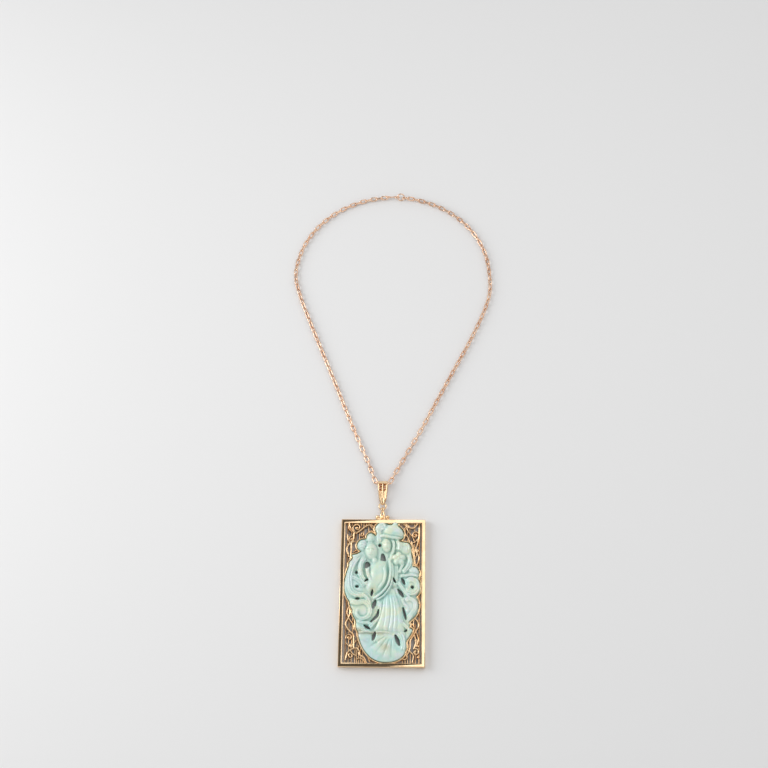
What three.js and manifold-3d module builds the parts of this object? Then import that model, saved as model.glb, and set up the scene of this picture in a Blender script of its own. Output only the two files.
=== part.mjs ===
// Opal pendant necklace: a carved opal panel of two robed figures in a gold openwork frame,
// hung by a ring and a three-rib bail on a gold cable chain, lying on its back.
// Millimetres, +Z up. The origin is on the surface below the middle of the whole outline.

import * as THREE from "three";
import { mergeVertices } from "three/addons/utils/BufferGeometryUtils.js";
import Module from "manifold-3d";

// Driving dimensions of the frame
const frameWidth = 45.5;
const frameHeight = 78.5;
const frameDepth = 3.8;
const bandWidth = 2.1;
const bandBevel = 0.25;
const openworkBack = 0.9;
const openworkFront = 3.1;
const strokeHalf = 0.27;
const vineStep = 4.2;

// Bezel wall round the opal, and the ledge that the opal sits on
const fitGap = 0.3;
const bezelWall = 0.5;
const bezelFront = 3.4;
const ledgeReach = 0.7;
const ledgeTop = 0.45;

// Opal slab: back, height of its rim and of its ground, and the grid of the carved face
const opalBack = ledgeTop + fitGap;
const opalRim = 2.9;
const opalGround = 3.5;
const rimWidth = 0.9;
const outlineStep = 3.1;
const gridAcross = 1.65;
const gridAlong = 2.2;
const carvingTolerance = 0.16;
const frameTolerance = 0.1;

// Cable chain
const wire = 0.75;
const linkWidth = 2.65;
const linkLength = 4.8;
const ridgeOverlap = 0.06;
const runSlack = 0.45;
const runsPerSide = 4;
const linksPerRun = 17;
const chainLean = 45;
const leanSettled = 70;
const bailPassHeight = 2.35;

// Hanging parts, from the frame upward
const eyeCentre = [-0.6, 45.2, 1.6];
const eyeRadius = 1.3;
const eyeHole = 0.7;
const eyeHalfWidth = 0.75;
const ringCentre = [-0.7, 47.35, 1.6];
const ringRadius = 2.45;
const ringWire = 0.7;
const bailCentreX = -0.7;
const bailTopHalf = 2.5;
const bailFootHalf = 1.0;
const bailStrip = 0.62;
const ribSlotHalf = 0.45;

// Clasp
const claspWire = 0.7;
const claspRadius = 2.0;
const hookBow = 1.5;
const claspHeight = 1.85;

const gold = new THREE.MeshStandardMaterial({ color: 0xdea569, roughness: 0.18, metalness: 1 });
const roseGold = new THREE.MeshStandardMaterial({ color: 0xcd9b7d, roughness: 0.22, metalness: 1 });
const opal = new THREE.MeshStandardMaterial({ color: 0xc8e4da, roughness: 0.2, metalness: 0 });

const wasm = await Module();
wasm.setup();

const radians = THREE.MathUtils.degToRad;
const lerp = THREE.MathUtils.lerp;

// Solids and geometries

function solidOf(geometry) {
  const bare = geometry.clone();
  bare.deleteAttribute("normal");
  bare.deleteAttribute("uv");
  const merged = mergeVertices(bare, 1e-4);
  const corners = merged.index.array;
  const kept = [];
  for (let i = 0; i < corners.length; i += 3) {
    const [a, b, c] = [corners[i], corners[i + 1], corners[i + 2]];
    if (a !== b && b !== c && c !== a) kept.push(a, b, c);
  }
  const mesh = new wasm.Mesh({
    numProp: 3,
    vertProperties: new Float32Array(merged.attributes.position.array),
    triVerts: new Uint32Array(kept),
  });
  return new wasm.Manifold(mesh);
}

function geometryOf(solid) {
  const mesh = solid.getMesh();
  const geometry = new THREE.BufferGeometry();
  geometry.setAttribute("position", new THREE.BufferAttribute(new Float32Array(mesh.vertProperties), 3));
  geometry.setIndex(new THREE.BufferAttribute(new Uint32Array(mesh.triVerts), 1));
  geometry.computeVertexNormals();
  return geometry;
}

function joined(solids) {
  return solids.reduce((sum, solid) => sum.add(solid));
}

// Flat outlines

function shapeOf(outline) {
  return new THREE.Shape(outline.map(([x, y]) => new THREE.Vector2(x, y)));
}

function prism(outline, low, high) {
  const geometry = new THREE.ExtrudeGeometry(shapeOf(outline), { depth: high - low, bevelEnabled: false });
  geometry.translate(0, 0, low);
  return solidOf(geometry);
}

function ellipse(x, y, halfAcross, halfAlong, turn, sides) {
  const outline = [];
  for (let i = 0; i < sides; i += 1) {
    const angle = (2 * Math.PI * i) / sides;
    const [u, v] = [halfAcross * Math.cos(angle), halfAlong * Math.sin(angle)];
    const [c, s] = [Math.cos(radians(turn)), Math.sin(radians(turn))];
    outline.push([x + u * c - v * s, y + u * s + v * c]);
  }
  return outline;
}

function smoothLine(points, step) {
  if (points.length < 3) return points;
  const curve = new THREE.CatmullRomCurve3(points.map(([x, y]) => new THREE.Vector3(x, y, 0)), false, "centripetal");
  const count = Math.max(2, Math.round(curve.getLength() / step));
  return curve.getSpacedPoints(count).map((p) => [p.x, p.y]);
}

function spiral(x, y, outer, inner, start, sweep, count) {
  const points = [];
  for (let i = 0; i <= count; i += 1) {
    const t = i / count;
    const angle = radians(start + sweep * t);
    const r = lerp(outer, inner, t);
    points.push([x + r * Math.cos(angle), y + r * Math.sin(angle)]);
  }
  return points;
}

// Outline of a stroke of the given half widths along a line, with pointed ends
function strokeOutline(line, startHalf, endHalf = startHalf) {
  const left = [];
  const right = [];
  const last = line.length - 1;
  for (let i = 0; i <= last; i += 1) {
    const before = line[Math.max(i - 1, 0)];
    const after = line[Math.min(i + 1, last)];
    const length = Math.hypot(after[0] - before[0], after[1] - before[1]);
    const [dx, dy] = [(after[0] - before[0]) / length, (after[1] - before[1]) / length];
    const half = lerp(startHalf, endHalf, i / last);
    left.push([line[i][0] - dy * half, line[i][1] + dx * half]);
    right.push([line[i][0] + dy * half, line[i][1] - dx * half]);
    if (i === 0) left.unshift([line[0][0] - dx * half * 0.8, line[0][1] - dy * half * 0.8]);
    if (i === last) left.push([line[i][0] + dx * half * 0.8, line[i][1] + dy * half * 0.8]);
  }
  return [...left, ...right.reverse()].reverse();
}

function distanceTo(outline, x, y) {
  let nearest = Infinity;
  let inside = false;
  for (let i = 0; i < outline.length; i += 1) {
    const [ax, ay] = outline[i];
    const [bx, by] = outline[(i + 1) % outline.length];
    const [ex, ey] = [bx - ax, by - ay];
    const t = Math.min(1, Math.max(0, ((x - ax) * ex + (y - ay) * ey) / (ex * ex + ey * ey)));
    nearest = Math.min(nearest, Math.hypot(x - ax - t * ex, y - ay - t * ey));
    if (ay > y !== by > y && x < ax + ((y - ay) * ex) / ey) inside = !inside;
  }
  return inside ? nearest : -nearest;
}

// Outline moved outward by a distance, or inward by a negative one; corners that fold over are dropped
function offsetOutline(outline, distance) {
  const moved = [];
  const count = outline.length;
  for (let i = 0; i < count; i += 1) {
    const before = outline[(i + count - 1) % count];
    const here = outline[i];
    const after = outline[(i + 1) % count];
    const inLength = Math.hypot(here[0] - before[0], here[1] - before[1]);
    const outLength = Math.hypot(after[0] - here[0], after[1] - here[1]);
    const normalIn = [(here[1] - before[1]) / inLength, (before[0] - here[0]) / inLength];
    const normalOut = [(after[1] - here[1]) / outLength, (here[0] - after[0]) / outLength];
    const sum = [normalIn[0] + normalOut[0], normalIn[1] + normalOut[1]];
    const square = Math.max(0.5, (sum[0] * sum[0] + sum[1] * sum[1]) / 2);
    moved.push([here[0] + (sum[0] / square) * distance, here[1] + (sum[1] / square) * distance]);
  }
  return moved.filter(([x, y]) => Math.abs(distanceTo(outline, x, y)) > Math.abs(distance) * 0.97);
}

// The opal's lobed outline, anticlockwise from the foot of the mound: each entry is a corner
// and the rise of the arc that leads from it to the next one
const opalLobes = [
  [1.0, -36.7, 0.9], [8.8, -35.2, 0.35], [12.4, -31.4, 0.25], [12.9, -26.4, 0.2], [16.0, -20.5, 0.25],
  [14.3, -19.0, -0.1], [14.1, -15.6, 0.5], [18.6, -11.0, 1.1], [17.9, -2.2, 1.5], [18.9, 7.3, 1.5],
  [15.9, 13.6, 0.25], [15.1, 21.5, 0.7], [12.6, 26.6, 0.15], [8.8, 27.7, 0.5], [10.9, 31.5, 0.6],
  [7.9, 35.9, 1.2], [4.9, 36.6, 0.05], [2.5, 36.3, 0.7], [-2.8, 36.8, 0.8], [-3.7, 30.8, 0.1],
  [-4.5, 30.2, 1.4], [-9.0, 28.8, 1.7], [-13.9, 24.0, 0.8], [-11.6, 21.7, -0.1], [-16.5, 19.0, 0.2],
  [-16.8, 16.8, 0.3], [-18.3, 14.2, 0.1], [-20.3, 3.0, 0.7], [-17.4, -5.8, 0.3], [-15.7, -9.6, 0.2],
  [-13.7, -15.6, 0.3], [-13.3, -19.7, 0.15], [-11.2, -26.4, 0.35], [-6.2, -33.7, 0.6],
];

function lobedOutline(lobes, step) {
  const outline = [];
  lobes.forEach(([ax, ay, rise], i) => {
    const [bx, by] = lobes[(i + 1) % lobes.length];
    const chord = Math.hypot(bx - ax, by - ay);
    const pieces = Math.max(1, Math.round((chord + Math.abs(rise)) / step));
    for (let k = 0; k < pieces; k += 1) {
      const t = k / pieces;
      const bulge = rise * Math.sin(Math.PI * t);
      outline.push([lerp(ax, bx, t) + ((by - ay) / chord) * bulge, lerp(ay, by, t) - ((bx - ax) / chord) * bulge]);
    }
  });
  return outline;
}

const opalOutline = lobedOutline(opalLobes, outlineStep);

// Pierced holes of the carving: slots along a line, with their half width, and straight-sided ones
const opalSlots = [
  [[[-1.8, 25.1], [-1.8, 25.0]], 0.75], [[[-14.1, 10.4], [-14.1, 10.0]], 0.6],
  [[[-9.1, 5.6], [-8.1, 6.4]], 0.6], [[[-13.9, 2.7], [-13.3, 2.7]], 0.6], [[[-13.9, -3.7], [-12.5, -3.5]], 0.45],
  [[[-5.4, 0.5], [-5.8, -1.7]], 0.6], [[[-3.8, -5.2], [-4.8, -8.0]], 0.95],
  [[[-1.9, -10.0], [-2.7, -12.8], [-5.5, -15.5]], 0.68], [[[-8.9, -18.0], [-6.7, -19.4]], 0.7],
  [[[-3.7, -21.8], [-4.6, -24.8]], 0.85], [[[7.4, -23.4], [9.0, -27.3]], 0.95], [[[12.0, -20.7], [13.0, -20.0]], 0.4],
  [[[11.1, -8.7], [12.5, -14.0]], 0.58], [[[8.7, 0.9], [10.8, -2.0]], 0.85], [[[10.5, 6.8], [11.5, 4.6]], 0.72],
  [[[5.7, 7.0], [6.8, 5.1]], 0.48], [[[15.9, 2.6], [15.9, 2.4]], 0.75],
];
const opalCorners = [
  [[-1.1, 16.8], [1.5, 16.8], [0.3, 20.3], [-0.7, 20.3]],
  [[-9.8, 12.6], [-8.4, 12.2], [-6.8, 14.5], [-8.2, 16.1], [-9.6, 15.0]],
];

// Carved forms. A dome is [x, y, half width, half height, turn, foot, top]
const domes = [
  [5.6, 32.4, 5.4, 3.9, -8, 2.8, 5.5], [-1.2, 35.0, 3.4, 2.6, 12, 2.8, 4.8], [6.4, 36.6, 1.7, 1.6, 0, 2.8, 4.4],
  [2.1, 25.2, 1.95, 3.5, 6, 3.0, 5.9], [11.9, 23.4, 3.5, 3.6, 0, 2.8, 4.5], [8.5, 17.5, 3.7, 3.7, 0, 3.0, 5.2],
  [16.8, 11.2, 2.7, 2.3, -15, 2.8, 4.5], [15.9, 2.9, 4.4, 4.9, 0, 2.8, 4.2], [15.2, -8.2, 4.0, 6.4, 12, 2.8, 4.2],
  [14.9, -20.6, 1.7, 1.5, 0, 2.8, 4.0], [-11.4, 25.1, 2.8, 2.9, 0, 2.8, 5.0], [-6.9, 29.2, 1.9, 2.5, 0, 2.8, 4.9],
  [-6.4, 21.9, 3.4, 5.2, 12, 3.0, 6.2], [-14.0, 19.2, 2.6, 1.3, 14, 2.8, 4.2], [-15.6, 16.2, 2.5, 1.8, 20, 2.8, 4.3],
  [-0.8, 8.0, 6.0, 9.0, -8, 3.0, 5.7], [-16.2, 1.0, 4.2, 6.6, 8, 2.8, 4.1], [-10.4, -10.6, 5.4, 5.2, 0, 2.8, 4.3],
  [-11.4, -18.0, 2.1, 3.2, 10, 2.8, 4.2], [-8.2, -23.4, 3.6, 2.6, -12, 2.8, 4.2], [0.4, -23.2, 4.4, 1.9, 0, 2.8, 3.9],
  [9.9, -30.2, 2.7, 4.2, 8, 2.8, 4.5], [1.5, -31.5, 9.2, 5.0, 0, 2.8, 4.3], [4.4, -10.5, 7.2, 11.4, 4, 2.8, 4.4],
];

// A fold is [line, half width at the start, half width at the end, foot, top]
const folds = [
  [[[-2.5, 33.0], [-2.3, 30.6], [-2.2, 27.6]], 1.5, 1.1, 2.8, 4.1],
  [[[-0.6, 30.0], [3.6, 29.3], [9.4, 28.3]], 0.8, 0.8, 3.2, 6.0],
  [[[4.6, 28.0], [5.2, 24.4], [4.4, 20.6]], 0.75, 0.6, 3.2, 5.3],
  [[[6.3, 27.8], [6.9, 24.4], [6.4, 21.2]], 0.8, 0.7, 3.2, 5.2],
  [[[8.0, 27.6], [8.7, 24.4], [8.4, 21.4]], 0.8, 0.7, 3.2, 5.0],
  [[[9.4, 25.5], [12.0, 25.5], [14.0, 24.8]], 0.75, 0.6, 3.2, 4.9],
  [[[9.6, 23.7], [12.2, 23.6], [14.8, 22.8]], 0.75, 0.6, 3.2, 4.9],
  [[[9.8, 21.9], [12.4, 21.8], [14.8, 20.8]], 0.75, 0.6, 3.2, 4.8],
  [[[14.2, 20.0], [15.0, 17.6], [15.1, 14.8]], 1.1, 0.9, 2.9, 4.7],
  [[[13.4, 18.6], [12.9, 14.6], [10.0, 9.2]], 0.9, 0.6, 3.0, 4.9],
  [[[12.0, 14.6], [10.4, 11.8], [8.8, 9.8]], 0.7, 0.6, 3.0, 4.6],
  [[[11.6, 7.9], [14.0, 9.2], [16.6, 9.2], [19.0, 8.4]], 0.6, 0.5, 3.0, 4.9],
  [[[-1.0, -9.4], [-2.9, -14.4], [-6.0, -18.0], [-7.2, -20.6]], 0.9, 0.8, 3.0, 4.8],
  [[[0.4, -9.8], [-1.4, -15.2], [-4.6, -20.2]], 0.8, 0.8, 3.0, 4.8],
  [[[-4.6, 17.0], [-3.4, 14.4]], 1.4, 1.6, 3.0, 5.0],
  [[[4.6, 16.4], [5.1, 9.4], [3.7, 3.2], [0.2, -1.8], [-3.0, -4.0]], 0.8, 0.9, 3.2, 5.9],
  [[[2.6, 14.6], [3.1, 8.8], [1.9, 3.8], [-1.0, -0.3], [-3.8, -2.2]], 0.7, 0.8, 3.4, 6.0],
  [[[-6.6, 13.4], [-6.6, 8.6], [-4.4, 4.6], [-0.8, 3.4]], 1.3, 1.2, 3.4, 6.0],
  [[[-10.6, 20.2], [-13.6, 15.4], [-17.0, 10.6], [-18.9, 6.2]], 0.8, 0.8, 3.0, 4.7],
  [[[-10.2, 18.4], [-12.0, 12.8], [-11.4, 8.4], [-7.6, 3.6]], 1.0, 1.0, 3.0, 4.9],
  [[[-12.4, 12.8], [-15.8, 12.2], [-16.7, 8.8], [-14.8, 6.0], [-11.2, 5.0]], 0.7, 0.7, 2.9, 4.7],
  [[[-16.9, -4.0], [-13.0, -5.3], [-8.8, -6.0]], 0.8, 0.8, 2.9, 4.6],
  [[[-8.0, 0.0], [-8.6, -4.0], [-6.8, -8.4], [-4.2, -12.4]], 1.2, 0.9, 2.9, 4.6],
  [[[-12.0, -21.3], [-8.2, -20.9], [-4.6, -21.3], [0.0, -20.8], [5.0, -21.8]], 0.5, 0.5, 3.0, 4.6],
  [[[8.4, -20.6], [10.0, -22.6], [12.0, -25.0]], 1.0, 0.8, 2.9, 4.4],
  [[[10.8, -4.8], [12.6, -9.2], [13.6, -14.2]], 0.6, 0.6, 2.9, 4.6],
];

// Rows of like folds: ridges between a top line and a bottom line, arcs round a centre, petals
function fanFolds(topStart, topEnd, footStart, footEnd, count, half, low, high) {
  for (let i = 0; i < count; i += 1) {
    const t = i / (count - 1);
    const top = [lerp(topStart[0], topEnd[0], t), lerp(topStart[1], topEnd[1], t)];
    const foot = [lerp(footStart[0], footEnd[0], t), lerp(footStart[1], footEnd[1], t)];
    folds.push([[top, foot], half * 0.75, half * 1.2, low, high]);
  }
}

function arcFolds(x, y, radii, start, sweep, half, low, high) {
  for (const r of radii) folds.push([spiral(x, y, r, r, start, sweep, 8), half, half, low, high]);
}

function petals(x, y, count, reach, size, low, high) {
  for (let i = 0; i < count; i += 1) {
    const angle = (360 * i) / count + 90;
    const [c, s] = [Math.cos(radians(angle)), Math.sin(radians(angle))];
    domes.push([x + reach * c, y + reach * s, size * 1.15, size, angle, low, high]);
  }
}

fanFolds([0.2, 0.2], [8.4, 1.4], [-3.4, -20.2], [10.6, -19.6], 6, 1.1, 3.2, 5.2);
fanFolds([5.6, 13.4], [8.2, 13.2], [5.4, 8.0], [8.4, 7.6], 3, 0.5, 3.0, 4.3);
fanFolds([2.0, -25.4], [4.6, -26.6], [-8.8, -28.6], [0.6, -35.4], 5, 0.9, 3.0, 4.7);
arcFolds(15.9, 2.9, [1.9, 3.5], 60, 250, 0.65, 2.9, 4.7);
arcFolds(15.3, -7.4, [1.4, 3.0], -80, 240, 0.65, 2.9, 4.7);
arcFolds(-10.4, -10.6, [1.6, 3.2, 4.7], 130, 240, 0.65, 3.0, 4.8);
arcFolds(-13.6, 2.7, [1.9, 3.5, 5.1], 100, 190, 0.65, 2.9, 4.7);
arcFolds(-1.2, 35.0, [1.9], 20, 200, 0.5, 3.0, 5.2);
petals(8.5, 17.5, 5, 2.1, 1.45, 3.4, 6.1);

function insideTurned(x, y, [cx, cy, halfAcross, halfAlong, turn]) {
  const [c, s] = [Math.cos(radians(turn)), Math.sin(radians(turn))];
  const [dx, dy] = [x - cx, y - cy];
  return Math.hypot((dx * c + dy * s) / halfAcross, (dy * c - dx * s) / halfAlong);
}

// Distance across a fold as a share of its half width
function acrossFold(x, y, [line, startHalf, endHalf]) {
  let best = Infinity;
  for (let i = 0; i + 1 < line.length; i += 1) {
    const [[ax, ay], [bx, by]] = [line[i], line[i + 1]];
    const [ex, ey] = [bx - ax, by - ay];
    const t = Math.min(1, Math.max(0, ((x - ax) * ex + (y - ay) * ey) / (ex * ex + ey * ey)));
    const half = lerp(startHalf, endHalf, (i + t) / (line.length - 1));
    best = Math.min(best, Math.hypot(x - ax - t * ex, y - ay - t * ey) / half);
  }
  return best;
}

const smoothFolds = folds.map(([line, ...rest]) => [smoothLine(line, 2), ...rest]);

function carvedHeight(x, y) {
  const depth = Math.max(0, distanceTo(opalOutline, x, y));
  const edge = Math.sqrt(1 - (1 - Math.min(1, depth / rimWidth)) ** 2);
  let height = lerp(opalRim, opalGround, edge);
  for (const dome of domes) {
    const u = insideTurned(x, y, dome);
    if (u < 1) height = Math.max(height, lerp(dome[5], dome[6], Math.sqrt(1 - u * u)));
  }
  for (const fold of smoothFolds) {
    const u = acrossFold(x, y, fold);
    if (u < 1) height = Math.max(height, lerp(fold[3], fold[4], Math.sqrt(1 - u * u)));
  }
  return Math.min(height, opalRim + 0.4 + 2.2 * depth);
}

function opalSolid() {
  const box = new THREE.Box2().setFromPoints(opalOutline.map(([x, y]) => new THREE.Vector2(x, y)));
  const size = box.getSize(new THREE.Vector2()).addScalar(1);
  const middle = box.getCenter(new THREE.Vector2());
  const across = Math.round(size.x / gridAcross);
  const along = Math.round(size.y / gridAlong);
  const block = new THREE.BoxGeometry(size.x, size.y, 1, across, along, 1);
  block.translate(middle.x, middle.y, 0);
  const position = block.attributes.position;
  for (let i = 0; i < position.count; i += 1) {
    const top = position.getZ(i) > 0;
    position.setZ(i, top ? carvedHeight(position.getX(i), position.getY(i)) : opalBack);
  }
  const slots = opalSlots.map(([line, half]) => prism(strokeOutline(smoothLine(line, 2), half), 0, 9));
  const corners = opalCorners.map((outline) => prism(outline, 0, 9));
  return solidOf(block)
    .intersect(prism(opalOutline, 0, 9))
    .subtract(joined([...slots, ...corners]))
    .simplify(carvingTolerance);
}

// Gold openwork: strokes as [line, half width]; bars join the vines to the border and the bezel
const vines = [
  [[-18.7, 37.6], [-17.6, 34.2], [-15.2, 31.9], [-12.4, 33.4], [-9.8, 35.6], [-7.2, 36.4], [-4.6, 35.0]],
  [[-19.4, 31.0], [-18.9, 27.8], [-17.4, 26.9], [-16.2, 28.2], [-15.8, 32.2]],
  [[-15.6, 27.4], [-18.6, 25.4], [-19.6, 22.6], [-18.2, 18.6]],
  [[-17.2, 27.0], [-17.2, 21.0], [-17.8, 16.6]],
  [[11.0, 36.8], [13.8, 35.1], [16.4, 34.9], [18.9, 37.6]],
  [[19.4, 35.0], [19.3, 30.0], [18.3, 25.5], [17.4, 22.4], [19.3, 18.9], [18.2, 14.2]],
  [[15.2, 27.4], [16.6, 22.5], [16.9, 18.0], [17.6, 13.4]],
  [[-17.6, -6.0], [-17.2, -12.0], [-19.2, -17.2], [-17.4, -20.4], [-15.1, -22.5], [-14.7, -26.4], [-14.6, -29.8]],
  [[-18.9, -35.6], [-17.4, -31.2], [-13.2, -29.4], [-11.7, -31.2], [-11.3, -33.1], [-9.3, -34.2], [-7.6, -37.4]],
  [[16.9, -13.4], [18.6, -15.2], [19.3, -17.6], [18.0, -20.1], [16.6, -22.6], [15.1, -25.2], [14.8, -29.6], [12.8, -33.6]],
  [[16.9, -22.4], [17.9, -26.2], [16.8, -29.6]],
];

const curls = [
  spiral(-14.3, 34.8, 2.5, 0.7, 250, -380, 7), spiral(17.3, 31.0, 1.9, 0.6, 10, 380, 7),
  spiral(-17.2, -24.0, 1.8, 0.5, 200, -380, 7), spiral(17.8, -31.2, 1.9, 0.5, 130, -380, 7),
  spiral(-16.0, -33.4, 1.3, 0.4, 100, 300, 5),
];

// Bars as [x, lower end, upper end]
const bars = [
  [-19.3, 11.0, 37.6], [-14.8, 26.6, 32.2], [-12.9, 28.0, 33.4], [-10.6, 28.8, 37.6], [-8.0, 31.6, 37.6],
  [19.4, 12.4, 37.6], [12.0, 31.4, 37.6], [14.4, 26.0, 35.2],
  [-19.1, -37.4, -3.0], [-17.4, -37.4, -30.8], [-15.8, -37.4, -21.6], [-13.9, -37.4, -28.8],
  [-12.0, -37.4, -28.0], [-10.0, -37.4, -31.0], [19.5, -37.4, -2.0], [16.4, -37.4, -32.2], [13.6, -37.4, -31.4],
  [11.0, -37.4, -33.8],
];

const beads = [[18.0, 14.6, 0.75], [19.2, -28.3, 0.7], [19.0, -33.8, 0.8], [-16.0, -28.4, 0.9], [15.5, -17.0, 0.9]];

function openwork() {
  const pieces = [];
  for (const line of vines) pieces.push(strokeOutline(smoothLine(line, vineStep), strokeHalf * 1.15));
  for (const line of curls) pieces.push(strokeOutline(line, strokeHalf, strokeHalf * 0.9));
  for (const [x, low, high] of bars) pieces.push(strokeOutline([[x, low], [x, high]], strokeHalf));
  for (const [x, y, r] of beads) pieces.push(ellipse(x, y, r, r, 0, 7));
  return joined(pieces.map((outline) => prism(outline, openworkBack, openworkFront)));
}

function border() {
  const [x, y] = [frameWidth / 2 - bandBevel, frameHeight / 2 - bandBevel];
  const inner = bandWidth - bandBevel * 2;
  const shape = shapeOf([[-x, -y], [x, -y], [x, y], [-x, y]]);
  const [ix, iy] = [x - inner, y - inner];
  shape.holes.push(shapeOf([[-ix, -iy], [-ix, iy], [ix, iy], [ix, -iy]]));
  const bevel = { bevelEnabled: true, bevelThickness: bandBevel, bevelSize: bandBevel, bevelSegments: 1 };
  const geometry = new THREE.ExtrudeGeometry(shape, { depth: frameDepth - bandBevel * 2, ...bevel });
  geometry.translate(0, 0, bandBevel);
  return solidOf(geometry);
}

// Crest: an arch with leaves and side beads on the frame's top edge, ending in an eye for the ring
function crest() {
  const [x, y, z] = eyeCentre;
  const strokes = [
    [[[x - 1.1, 38.4], [x - 1.2, 41.4], [x - 0.5, 44.4]], 0.42], [[[x + 1.1, 38.4], [x + 1.2, 41.4], [x + 0.5, 44.4]], 0.42],
    [[[x - 4.0, 38.8], [x - 2.4, 39.6], [x - 0.9, 39.0]], 0.5], [[[x + 4.4, 38.8], [x + 2.6, 39.6], [x + 0.9, 39.0]], 0.5],
  ];
  const parts = strokes.map(([line, half]) => prism(strokeOutline(line, half), z - 1.0, z + 1.2));
  for (const beadX of [x - 2.6, x + 2.9]) parts.push(prism(ellipse(beadX, 40.9, 1.0, 1.0, 0, 7), z - 1.0, z + 1.4));
  const profile = [[eyeHole, -eyeHalfWidth], [eyeRadius - 0.25, -eyeHalfWidth], [eyeRadius, 0]];
  profile.push([eyeRadius - 0.25, eyeHalfWidth], [eyeHole, eyeHalfWidth], [eyeHole, -eyeHalfWidth]);
  const eye = new THREE.LatheGeometry(profile.map(([r, a]) => new THREE.Vector2(r, a)), 8);
  eye.rotateZ(Math.PI / 2);
  eye.translate(x, y, z);
  const opening = new THREE.CylinderGeometry(eyeHole, eyeHole, 6, 8);
  opening.rotateZ(Math.PI / 2);
  opening.translate(x, y, z);
  return joined([...parts, solidOf(eye)]).subtract(solidOf(opening));
}

function frameSolid() {
  const wallOuter = offsetOutline(opalOutline, fitGap + bezelWall);
  const wallInner = offsetOutline(opalOutline, fitGap);
  const ledgeInner = offsetOutline(lobedOutline(opalLobes, outlineStep * 2.5), -ledgeReach);
  return joined([border(), openwork(), prism(wallOuter, 0, bezelFront), crest()])
    .subtract(prism(wallInner, ledgeTop, 9))
    .subtract(prism(ledgeInner, -1, 9))
    .simplify(frameTolerance);
}

function bailRing() {
  const geometry = new THREE.TorusGeometry(ringRadius, ringWire / 2, 6, 12);
  geometry.translate(...ringCentre);
  return geometry;
}

// Bail: a strip bent to a long drop in side view, tapered in front view, with two slots in its front
function bailSolid() {
  const side = [
    [48.5, 1.6], [48.9, 0.6], [52.0, 0.1], [58.9, 0.1], [60.6, 0.9], [61.2, 2.4], [60.6, 3.9], [59.0, 4.75],
    [57.2, 4.6], [53.0, 3.7], [49.6, 2.75], [48.8, 2.4],
  ];
  const strip = new THREE.Shape(side.map(([y, z]) => new THREE.Vector2(y, z)));
  const hollow = offsetOutline(side, -bailStrip).map(([y, z]) => new THREE.Vector2(y, z));
  strip.holes.push(new THREE.Path(hollow));
  const geometry = new THREE.ExtrudeGeometry(strip, { depth: 8, bevelEnabled: false });
  geometry.translate(0, 0, -4);
  geometry.applyMatrix4(new THREE.Matrix4().set(0, 0, 1, bailCentreX, 1, 0, 0, 0, 0, 1, 0, 0, 0, 0, 0, 1));
  const half = (y) => lerp(bailFootHalf, bailTopHalf, Math.min(1, Math.max(0, (y - 49) / 9.5)));
  const front = [[-half(48), 48], [half(48), 48], [half(53), 53], [half(59), 59], [2.2, 61.4]];
  front.push([-2.2, 61.4], [-half(59), 59], [-half(53), 53]);
  const outline = prism(front.map(([x, y]) => [x + bailCentreX, y]), -1, 6);
  const slots = [-1, 1].map((sign) => {
    const line = [[bailCentreX + sign * 0.75, 52.2], [bailCentreX + sign * 1.15, 57.6]];
    return prism(strokeOutline(line, ribSlotHalf * 0.6, ribSlotHalf), 2.5, 6);
  });
  return solidOf(geometry).intersect(outline).subtract(joined(slots));
}

// Chain route on each side of the bail, as [x, y] of the places where two links touch
const leftRoute = [
  [-2.35, 57.9], [-4.6, 60.4], [-6.1, 64.2], [-8.5, 70.8], [-13.4, 82.0], [-17.1, 90.5], [-22.7, 103.9],
  [-27.9, 116.9], [-36.5, 137.6], [-44.5, 157.0], [-51.2, 174.4], [-54.4, 187.5],
];
const rightRoute = [
  [0.5, 57.9], [3.2, 60.4], [5.1, 64.1], [8.5, 70.3], [15.5, 82.8], [20.8, 92.4], [27.3, 105.1],
  [39.4, 128.6], [49.4, 148.0], [58.0, 168.0], [60.4, 177.6], [60.4, 187.5],
];

// Round back of the loop: an ellipse that carries on from both routes, up to the clasp at its top
const backCentre = [3.0, 187.5];
const backHalf = [57.3, 52.9];

function routeCurve(points, side) {
  const route = points.map(([x, y]) => new THREE.Vector3(x, y, 0));
  for (let angle = 15; angle <= 90; angle += 15) {
    const [c, s] = [Math.cos(radians(angle)), Math.sin(radians(angle))];
    route.push(new THREE.Vector3(backCentre[0] + side * backHalf[0] * c, backCentre[1] + backHalf[1] * s, 0));
  }
  return new THREE.CatmullRomCurve3(route, false, "centripetal");
}

// Places where two links touch along a route, as one list for each run of links
function runContacts(curve, stopShort) {
  const length = curve.getLength();
  const links = runsPerSide * linksPerRun;
  const pitch = (length - stopShort + (runsPerSide - 1) * runSlack) / links;
  const runs = [];
  for (let run = 0; run < runsPerSide; run += 1) {
    const contacts = [];
    for (let k = 0; k <= linksPerRun; k += 1) {
      const distance = (run * linksPerRun + k) * pitch - run * runSlack;
      const point = curve.getPointAt(distance / length);
      point.z = heightAt(distance, length - stopShort - distance);
      contacts.push({ point, distance });
    }
    runs.push(contacts);
  }
  return runs;
}

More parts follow.
